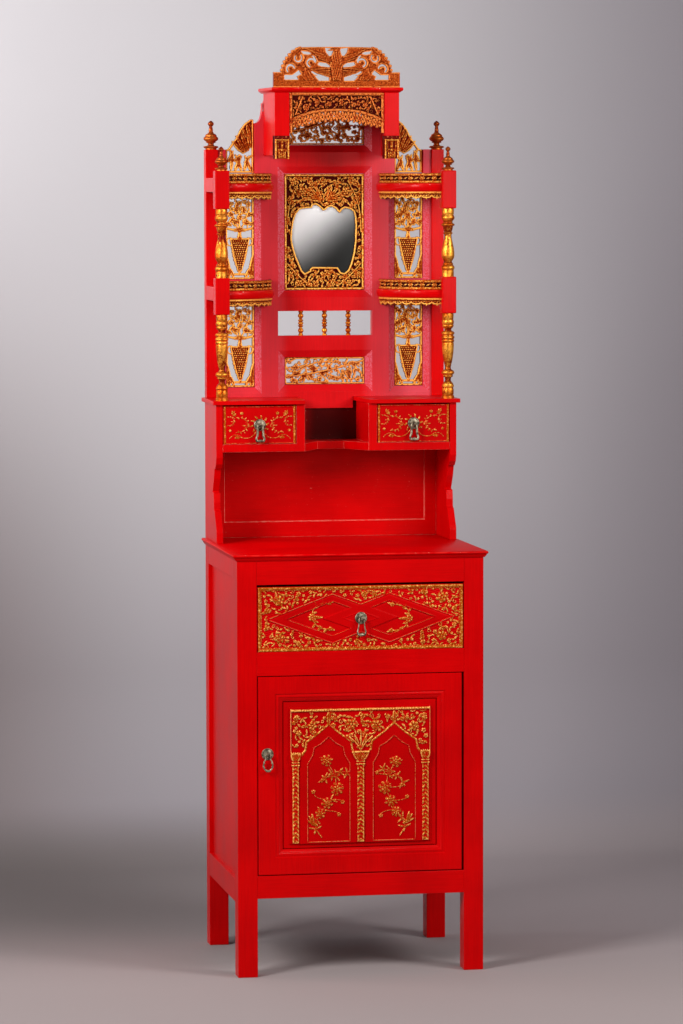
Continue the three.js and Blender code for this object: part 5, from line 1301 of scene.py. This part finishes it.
for side_name, side in SIDES:
    for level in ("lower", "upper"):
        node = f"{side_name}_{level}_shelf"
        board_z = span(node)[0][2] + 15.0
        edge = shelf_outline(side)
        nosed_board(node + "_board", edge, board_z, board_z + 20.0, SHELF_NOSE, lacquer_level, node)
        bottom, top = board_z + 19.5, board_z + 42.0
        # The gallery's ground is closed; its maroon is a painted shade for the openings of a pierced gallery.
        gallery = Carving((0.0, arc_run[-1] - 9), (bottom, top), 0.85, -2.4, seed=51)
        for rail_z in (bottom + 3.0, top - 2.8):
            gallery.stroke([(0, rail_z), (arc_run[-1], rail_z)], (3.3, 3.3), 3.0, -1.0)
        middle_z = (bottom + top) / 2
        for i in range(8):
            run = 6 + i * 28.0
            for way in (-1, 1):
                gallery.stroke([(run - way * 5, bottom + 4), (run + way * 5, top - 4)], (1.8, 1.8), 2.0, -1.6, 0.95)
                gallery.blossom(run + way * 4.2, middle_z, 2.2, 2.4, -1.6, petals=0)
            gallery.blossom(run, middle_z, 3.6, 3.2, -1.6, petals=4)
            gallery.stroke([(run + 10, middle_z - 1.5), (run + 18, middle_z + 1.5)], (1.0, 1.4), 1.6, -2.0, 0.8)
            gallery.blossom(run + 14, middle_z, 2.4, 2.0, -2.0, petals=5, gilt=0.9)
        settle(gallery.mesh(node + "_gallery", bent_place(side, 6.5), -4.2), carved_maroon, node)
        end = arc_run[-1]
        apron = Carving((0.0, end - 6), (board_z - 16.0, board_z + 1.5), 0.85, seed=53)
        strip = [(-2, board_z - 9.0), (end, board_z - 9.0), (end, board_z + 4), (-2, board_z + 4)]
        apron.fill(strip, 0.6, -1.4, 0.62)
        apron.stroke([(0, board_z - 1.2), (end, board_z - 1.2)], (3.0, 3.0), 3.2, -0.4)
        for i in range(9):
            run = 12.0 + i * 24.0
            for way in (-1, 1):
                swag = ((run + way * 12, board_z - 5.5), (run + way * 8, board_z - 14), (run, board_z - 10.5))
                apron.curve(*swag, (1.7, 2.0), 1.8, -0.8)
                apron.leaf(run + way * 3, board_z - 5, leaning(-0.5, way), 7.0, 1.8, 1.8, -1.0, 0.9)
            apron.blossom(run, board_z - 6.6, 3.0, 2.2, -0.8, gilt=0.95)
            apron.leaf(run, board_z - 9, -math.pi / 2, 6.6, 2.8, 1.8, -0.6)
        settle(apron.mesh(node + "_apron", bent_place(side, 6.5), -2.8), carved_open, node)

# Canopy. A nosed cornice board over two side boards and two narrow front boards, which end in fluted gilded
# pendants. The arched carving is let in between the front boards.
low, high = span("canopy_case")
CORNICE, CANOPY_HALF, STILE, FRONT_DROP, SIDE_DROP, PENDANT = 11.0, 139.0, 33.0, 95.0, 138.0, 50.0
canopy_front, cornice_z = low[1] + 8.0, high[2] - CORNICE
CORNICE_NOSE = [(1.8, 1.0), (0.5, 0.9), (0.0, 0.7), (0.3, 0.5), (1.4, 0.34), (3.2, 0.26), (5.4, 0.12), (6.4, 0.0)]

edge = straight_edges(low, high)
nosed_board("canopy_cornice", edge, cornice_z, high[2], CORNICE_NOSE, lacquer_level, "canopy_case")
shape = bmesh.new()
for side in (-1, 1):
    board_x = sorted((side * (CANOPY_HALF - 12), side * CANOPY_HALF))
    add_block(shape, (board_x[0], canopy_front + 11.8, cornice_z - SIDE_DROP), (board_x[1], frame_face, cornice_z))
    stile_x = sorted((side * (CANOPY_HALF - STILE), side * CANOPY_HALF))
    add_block(shape, (stile_x[0], canopy_front, cornice_z - FRONT_DROP), (stile_x[1], canopy_front + 12, cornice_z))
ease(shape, 0.9 * MM)
settle_shape(shape, "canopy_boards", lacquer_upright, "canopy_case")

for side_name, side in SIDES:
    x0, x1 = sorted((side * (CANOPY_HALF - STILE), side * CANOPY_HALF))
    top = cornice_z - FRONT_DROP
    pendant = Carving((x0, x1), (top - PENDANT, top), 0.8, -2.6, 61)
    share_x = (pendant.x - x0) / (x1 - x0)
    share_z = (pendant.z - top + PENDANT) / PENDANT
    waves = 0.5 * np.sin(math.pi * 7 * share_x) * np.sin(math.pi * 10 * share_z)
    pendant.height[:] = -1.2 + waves
    pendant.gilt[:] = np.where(share_z > 0.84, 0.7, 1.0)
    slots = (np.abs(np.abs(share_x - 0.5) - 0.16) < 0.075) & (share_z > 0.42) & (share_z < 0.74)
    pendant.sink(slots, -2.6)
    for dx in (-6.5, -2.2, 2.2, 6.5):
        pendant.leaf((x0 + x1) / 2 + dx, top - PENDANT + 2, math.pi / 2, 13, 2.0, 2.4, -1.6)
    for dz, radius in ((8.0, 3.4), (19.0, 3.0), (PENDANT - 8.5, 3.2)):
        pendant.blossom((x0 + x1) / 2, top - PENDANT + dz, radius, 2.2, -1.6)
    for way in (-1, 1):
        edge_x = (x0 + x1) / 2 + way * (STILE / 2 - 2.4)
        pendant.stroke([(edge_x, top - PENDANT + 1), (edge_x, top - 9)], (2.4, 2.4), 2.6, -1.2)
    pendant.stroke([(x0 + 3, top - 9), (x1 - 3, top - 9)], (1.6, 1.6), 2.2, -1.2)
    name = side_name + "_canopy_pendant"
    settle_carving(pendant, name, canopy_front, 0.4, 26.0, carved_open, "canopy_case")

# Arched front of the canopy: fine leaves on a dark ground over a gilded arched band, from which a lace of small
# blossoms hangs, all within a gilded border.
low, high, arch = over("canopy_arch_fretwork", 0.85, seed=71)
ARCH_BORDER = 6.5
# Each row is the distance from the middle and the height of the band or of the lace's lower edge.
BAND_ROWS = np.array([(0.0, 1869.0), (30.0, 1867.5), (55.0, 1864.0), (80.0, 1856.0), (94.0, 1850.0), (106.0, 1845.0)])
LACE_ROWS = np.array([(0.0, 1843.0), (38.0, 1839.0), (69.0, 1831.0), (94.0, 1828.0), (106.0, 1826.0)])


def band_z(x):
    return np.interp(np.abs(x), *BAND_ROWS.T)


def over_band(x, z):
    return band_z(x) + 3 < z < high[2] - 7 and abs(x) < high[0] - 8


arch.edge[arch.z > band_z(arch.x)] = -3.0
arch.sink(arch.z > band_z(arch.x), -4.4)
arch.foliage(over_band, 7.6, 5.4, 3.6, -4.2, 0.35, 0.9)
for i, x in enumerate((-70, -44, -18, 10, 38, 64)):
    arch.blossom(x, band_z(x) + 14 + 5 * (i % 2), 6.0, 4.6, -4.0, petals=6, turn=i, gilt=0.95)
for way in (-1, 1):
    arch.stroke([(way * 92, band_z(92) + 8), (way * 76, high[2] - 10)], (1.6, 2.0), 3.6, -3.4)
for i, x in enumerate(np.arange(-96, 97, 6.4)):
    top_z, foot_z = band_z(x), np.interp(abs(x), *LACE_ROWS.T)
    drop = top_z - foot_z
    for share, radius in ((0.2, 3.3), (0.52, 3.6), (0.84, 3.2)) if i % 2 else ((0.34, 3.6), (0.7, 3.4)):
        arch.blossom(x, top_z - share * drop, radius, 3.6, -1.8, turn=x + share)
    for way in (1, -1):
        line = ((x, top_z - 0.2 * drop), (x + way * 2, top_z - 0.5 * drop), (x + way * 6.4, top_z - 0.75 * drop))
        arch.curve(*line, (1.3, 1.3), 2.0, -1.4, 0.95)
for way in (-1, 1):
    arch.stroke([(way * x, z) for x, z in BAND_ROWS], (2.7, 3.4), 2.6, -0.8)
arch.rim(np.minimum.reduce([arch.x - low[0], high[0] - arch.x, high[2] - arch.z]), ARCH_BORDER, 2.6, -1.0)
carved_arch = carved("carved_arch", MAROON, srgb(156, 48, 10), srgb(232, 134, 62), srgb(70, 8, 2))
settle_carving(arch, "canopy_arch_carving", low[1], 1.6, 7.0, carved_arch, "canopy_arch_fretwork")

# Top crest. A sawn board in browned gilding that stands on the cornice: a bird with spread wings over broad
# leaves, with scrolls at its sides, on a plain rail between two blocks. The lines are cut with a gouge.
low, high, crest = over("top_crest", 0.8, seed=81)
browned_carving = carved(
    "browned_carving", srgb(84, 18, 5), srgb(168, 68, 17), srgb(222, 132, 62), srgb(72, 15, 3), 1.1
)
CREST_OUTLINE = [
    (35, 2006.5), (76, 2006), (86, 2003.5), (94, 1999.5), (100.5, 1994), (106.5, 1987), (112, 1980), (116.5, 1972),
    (120, 1963), (121.5, 1951.5), (141, 1951.5), (141, 1917.5),
]
WING = [
    (15, 1985), (23.5, 1994.5), (29.5, 2003), (35, 2006), (75, 2006), (70, 2001.5), (56, 1996.5), (48, 1991),
    (42, 1985), (39, 1978), (25.5, 1974.5), (15.5, 1971),
]
LOW_LEAF = [(15.5, 1961.5), (34.5, 1962.5), (54, 1959.5), (58.5, 1956), (44, 1948.5), (30.5, 1945), (16.5, 1942.5)]
CREST_GAPS = [
    [(7.5, 1996.5), (9, 2002.5), (26, 2004.5), (23.5, 1994.5), (17, 1986.5), (11, 1988)],
    [(13, 1964.5), (22.5, 1971), (39.5, 1973), (42.5, 1967.5), (34.5, 1964), (13.5, 1961.8)],
    [(55.5, 1991.5), (62, 1995.5), (80, 1997.4), (74.5, 1991), (64, 1989.5)],
    [(31.5, 1945), (42, 1947.5), (54.5, 1954), (57.5, 1952), (50, 1946), (35.5, 1942.5)],
    [(16.5, 1939.5), (29.5, 1944), (49, 1943.5), (42.5, 1935.5), (39.5, 1932.8), (16.5, 1932.8)],
    [(78.5, 1947), (84, 1956), (93, 1949), (99, 1944.8), (116.5, 1945), (116.5, 1935), (84.5, 1934.8), (88.5, 1942)],
    [(44, 1976), (49, 1986), (57, 1988), (50, 1980), (47, 1973)],
]
# Each scroll's centre, the radius of its slot, where the slot starts and ends, and its half width.
CREST_SCROLLS = [
    ((85.8, 1982.0), 8.6, 2.4, 6.9, 1.5), ((57.0, 1971.0), 9.6, 2.9, -1.2, 1.9), ((103.0, 1957.8), 9.4, 2.8, -0.7, 2.0),
]


def mirrored(line, side):
    return [(side * x, z) for x, z in line]


def winding(centre, reach, start, end, shrink=1.0):
    """Points round a centre, from one angle to another, drawing in to a share of their first reach."""
    reaches = reach * np.linspace(1.0, shrink, 24)
    turns = np.linspace(start, end, 24)
    return np.stack([centre[0] + reaches * np.cos(turns), centre[1] + reaches * np.sin(turns)], 1)


crest.fill(CREST_OUTLINE + mirrored(CREST_OUTLINE[::-1], -1), 1.0, 0.0, 1.0, 2.0)
for side in (-1, 1):
    crest.fill(mirrored(WING, side), 1.6, 0.6, 1.0, 4.0)
    crest.fill(mirrored(LOW_LEAF, side), 1.8, 0.6, 1.0, 5.0)
    for line in (
        ((16, 1984), (73, 2004)), ((18, 1981.5), (62, 1999.5)), ((19, 1979), (54, 1995)), ((20, 1977), (47, 1989.5)),
        ((20, 1974.5), (41, 1982)), ((16, 1959.5), (57, 1957)), ((16, 1954.5), (50, 1952.5)), ((16, 1949), (43, 1949)),
        ((16, 1945), (30, 1946)),
    ):
        crest.stroke(mirrored(line, side), (1.9, 1.1), 2.8, 1.0)
    for x, z in ((88, 2001), (97, 1996), (104, 1989), (110, 1981.5), (115, 1973.5), (119, 1964.5), (121, 1955.5)):
        crest.blossom(side * x, z, 4.2, 2.4, 0.8, petals=0)
    for x, z, lean, length, breadth in (
        (58, 1933, 1.15, 32, 6), (66, 1933, 0.9, 28, 5), (52, 1934, 0.7, 24, 5), (74, 1936, 1.9, 26, 5),
        (98, 1990, 2.4, 26, 5), (112, 1972, 2.3, 24, 5), (72, 1962, 0.9, 26, 4.5), (70, 1975, 2.2, 22, 4),
        (92, 1964, 2.0, 22, 4.5), (114, 1950, 1.9, 18, 4),
    ):
        crest.leaf(side * x, z, leaning(lean, side), length, breadth, 2.4, 0.8)
    for centre, radius, start, end, _ in CREST_SCROLLS:
        crest.stroke(mirrored(winding(centre, 1.55 * radius, start, end, 0.8), side), (2.4, 1.8), 1.8, 0.9)
        crest.stroke(mirrored(winding(centre, 0.45 * radius, start, end), side), (2.4, 1.8), 2.0, 0.9)
    for gap in CREST_GAPS:
        crest.cut(mirrored(gap, side))
    for centre, radius, start, end, half in CREST_SCROLLS:
        crest.cut(mirrored(winding(centre, radius, start, end, 0.82), side), half)
    crest.stroke([(side * 30, 2004), (side * 76, 2003.6)], (2.2, 2.2), 1.8, 0.8)
    crest.fill(mirrored([(118, 1917), (142, 1917), (142, 1951.5), (118, 1951.5)], side), 0.8, 1.2, 1.0, 1.5)
crest.fill([(-142, 1917), (142, 1917), (142, 1932.5), (-142, 1932.5)], 0.8, 1.2, 1.0, 1.5)
BIRD = [
    (-9, 1931), (-12, 1950), (-15, 1966), (-13.5, 1982), (-8, 1994), (-7, 2003), (2, 2004), (8, 1998), (12, 1985),
    (15, 1966), (12, 1950), (9, 1931),
]
crest.fill(BIRD, 2.6, 0.8, 1.0, 8.0)
crest.leaf(-5, 2001.0, math.pi + 0.15, 14, 2.6, 3.0, 0.6)
crest.blossom(-1, 1999, 3.2, 1.4, 3.0, petals=0)
for row, z in enumerate(np.arange(1933, 1992, 5.6)):
    reach = float(np.interp(z, (1933, 1966, 1990), (7, 12, 6)))
    for x in np.arange(-reach + 2.4 * (row % 2), reach + 0.1, 4.8):
        crest.leaf(x, z, math.pi / 2 - 0.02 * x, 8.0, 2.2, 2.6, 2.4)
settle_carving(crest, "top_crest_carving", low[1], 4.0, 12.0, browned_carving, "top_crest")

# Studio: a pale paper floor that runs up into a backdrop, and can't be seen from behind. Two large soft lamps
# stand in front, well out to each side, with a small one between them; one more stands at the left side, and the
# last one lights the backdrop.
backdrop, place = new_finish("studio_paper", Roughness=0.9, Specular_IOR_Level=0.1)
across, onward, upward = (place.axis(letter) for letter in "XYZ")
# Painted light and shade on the backdrop: lit high up and towards the left, painted shade low at the far left.
lit = upward.between(-0.36, 1.42) * across.between(1.51, 0.09)
shaded = upward.between(2.01, 0.28) * across.between(-0.08, -0.75)
wall = shaded.mix(lit.mix(srgb(150, 143, 149), srgb(201, 197, 200)), srgb(135, 125, 126))
# Painted shade on the floor: darker towards the back, and there darker towards the left.
shaded_far_floor = across.between(-0.62, 0.9).mix(srgb(116, 109, 108), srgb(164, 154, 156))
floor = (onward * 0.984 + across * 0.18).between(-0.42, 0.62).mix(srgb(166, 154, 153), shaded_far_floor)
away = onward.between(-1.3, -4.2).math("MAXIMUM", across.math("ABSOLUTE").between(2.6, 6.5))
behind = away.math("MAXIMUM", place.node("NewGeometry", output="Backfacing"))
unseen = behind * place.node("LightPath", output="Is Camera Ray")
mottle = place.noise(2.0, 2.0) * 0.06 - 0.03
feed(backdrop, Base_Color=(upward.between(0.0, 0.14) + mottle).mix(floor, wall), Alpha=1.0 - unseen)
shape = bmesh.new()
PAPER_FRONT, PAPER_BACK, PAPER_HALF, PAPER_TOP, PAPER_BEND = -9.0, 1.7, 9.0, 7.0, 0.45
profile = [(PAPER_FRONT, 0.0)]
for i in range(17):
    turn = math.pi / 2 * i / 16
    profile.append((PAPER_BACK - PAPER_BEND + PAPER_BEND * math.sin(turn), PAPER_BEND - PAPER_BEND * math.cos(turn)))
profile.append((PAPER_BACK, PAPER_TOP))
rows = [[shape.verts.new((x, y, z)) for x in (-PAPER_HALF, PAPER_HALF)] for y, z in profile]
for first, second in zip(rows, rows[1:]):
    shape.faces.new((first[0], first[1], second[1], second[0]))
paper = piece_from(shape, "studio_paper", 60)
paper.data.materials.append(backdrop)
LAMP_TARGET = (0.0, -0.1, 1.3)
for name, spot, target, size, power in (
    ("left_lamp", (-2.6, -2.0, 2.45), LAMP_TARGET, (1.0, 1.3), 105.0),
    ("right_lamp", (2.1, -2.1, 2.45), LAMP_TARGET, (1.0, 1.3), 59.0),
    ("side_lamp", (-3.0, -0.5, 1.9), (-0.1, 0.1, 1.7), (0.7, 1.0), 8.0),
    ("front_lamp", (1.05, -3.0, 1.8), (0.0, -0.1, 1.5), (0.8, 0.9), 16.0),
    ("backdrop_lamp", (-1.6, 0.4, 2.1), (-0.4, 1.7, 1.9), (1.3, 1.3), 22.0),
):
    data = bpy.data.lights.new(name, "AREA")
    data.shape = "RECTANGLE"
    data.size, data.size_y = size
    data.energy = power
    lamp = bpy.data.objects.new(name, data)
    lamp.location = spot
    lamp.rotation_euler = (Vector(target) - Vector(spot)).to_track_quat("-Z", "Y").to_euler()
    bpy.context.scene.collection.objects.link(lamp)
world = bpy.data.worlds.new("studio_air")
world.use_nodes = True
air = Link(world.node_tree)
seen = air.node("LightPath", output="Is Camera Ray")
for ray in ("Is Glossy Ray", "Is Transmission Ray"):
    seen = seen.math("MAXIMUM", air.node("LightPath", output=ray))
dim = air.node("Background", None, {"Color": (1.0, 1.0, 1.0, 1.0), "Strength": 0.04})
pale = air.node("Background", None, {"Color": srgb(150, 143, 146), "Strength": 1.0})
both = air.node("MixShader", None, {0: seen, 1: dim, 2: pale})
world.node_tree.links.new(both.socket, world.node_tree.nodes["World Output"].inputs["Surface"])
bpy.context.scene.world = world
bpy.context.scene.view_settings.view_transform = "Standard"

# Camera: fitted to the legs, rails and posts of the photograph.
CAMERA_PLACE = (-1.7206, -9.381, 1.7326)
YAW, PITCH, ROLL = 0.1812, -0.0780, -0.0018
FOCAL_SHARE = 4349.4 / 1024
FRAME_HEIGHT = 36.0
camera_data = bpy.data.cameras.new("camera")
camera_data.sensor_fit = "VERTICAL"
camera_data.sensor_height = FRAME_HEIGHT
camera_data.lens = FRAME_HEIGHT * FOCAL_SHARE
camera_data.clip_end = 100.0
camera = bpy.data.objects.new("camera", camera_data)
camera.matrix_world = (
    Matrix.Translation(CAMERA_PLACE) @ Matrix.Rotation(-YAW, 4, "Z")
    @ Matrix.Rotation(math.pi / 2 + PITCH, 4, "X") @ Matrix.Rotation(ROLL, 4, "Z")
)
bpy.context.scene.collection.objects.link(camera)
bpy.context.scene.camera = camera
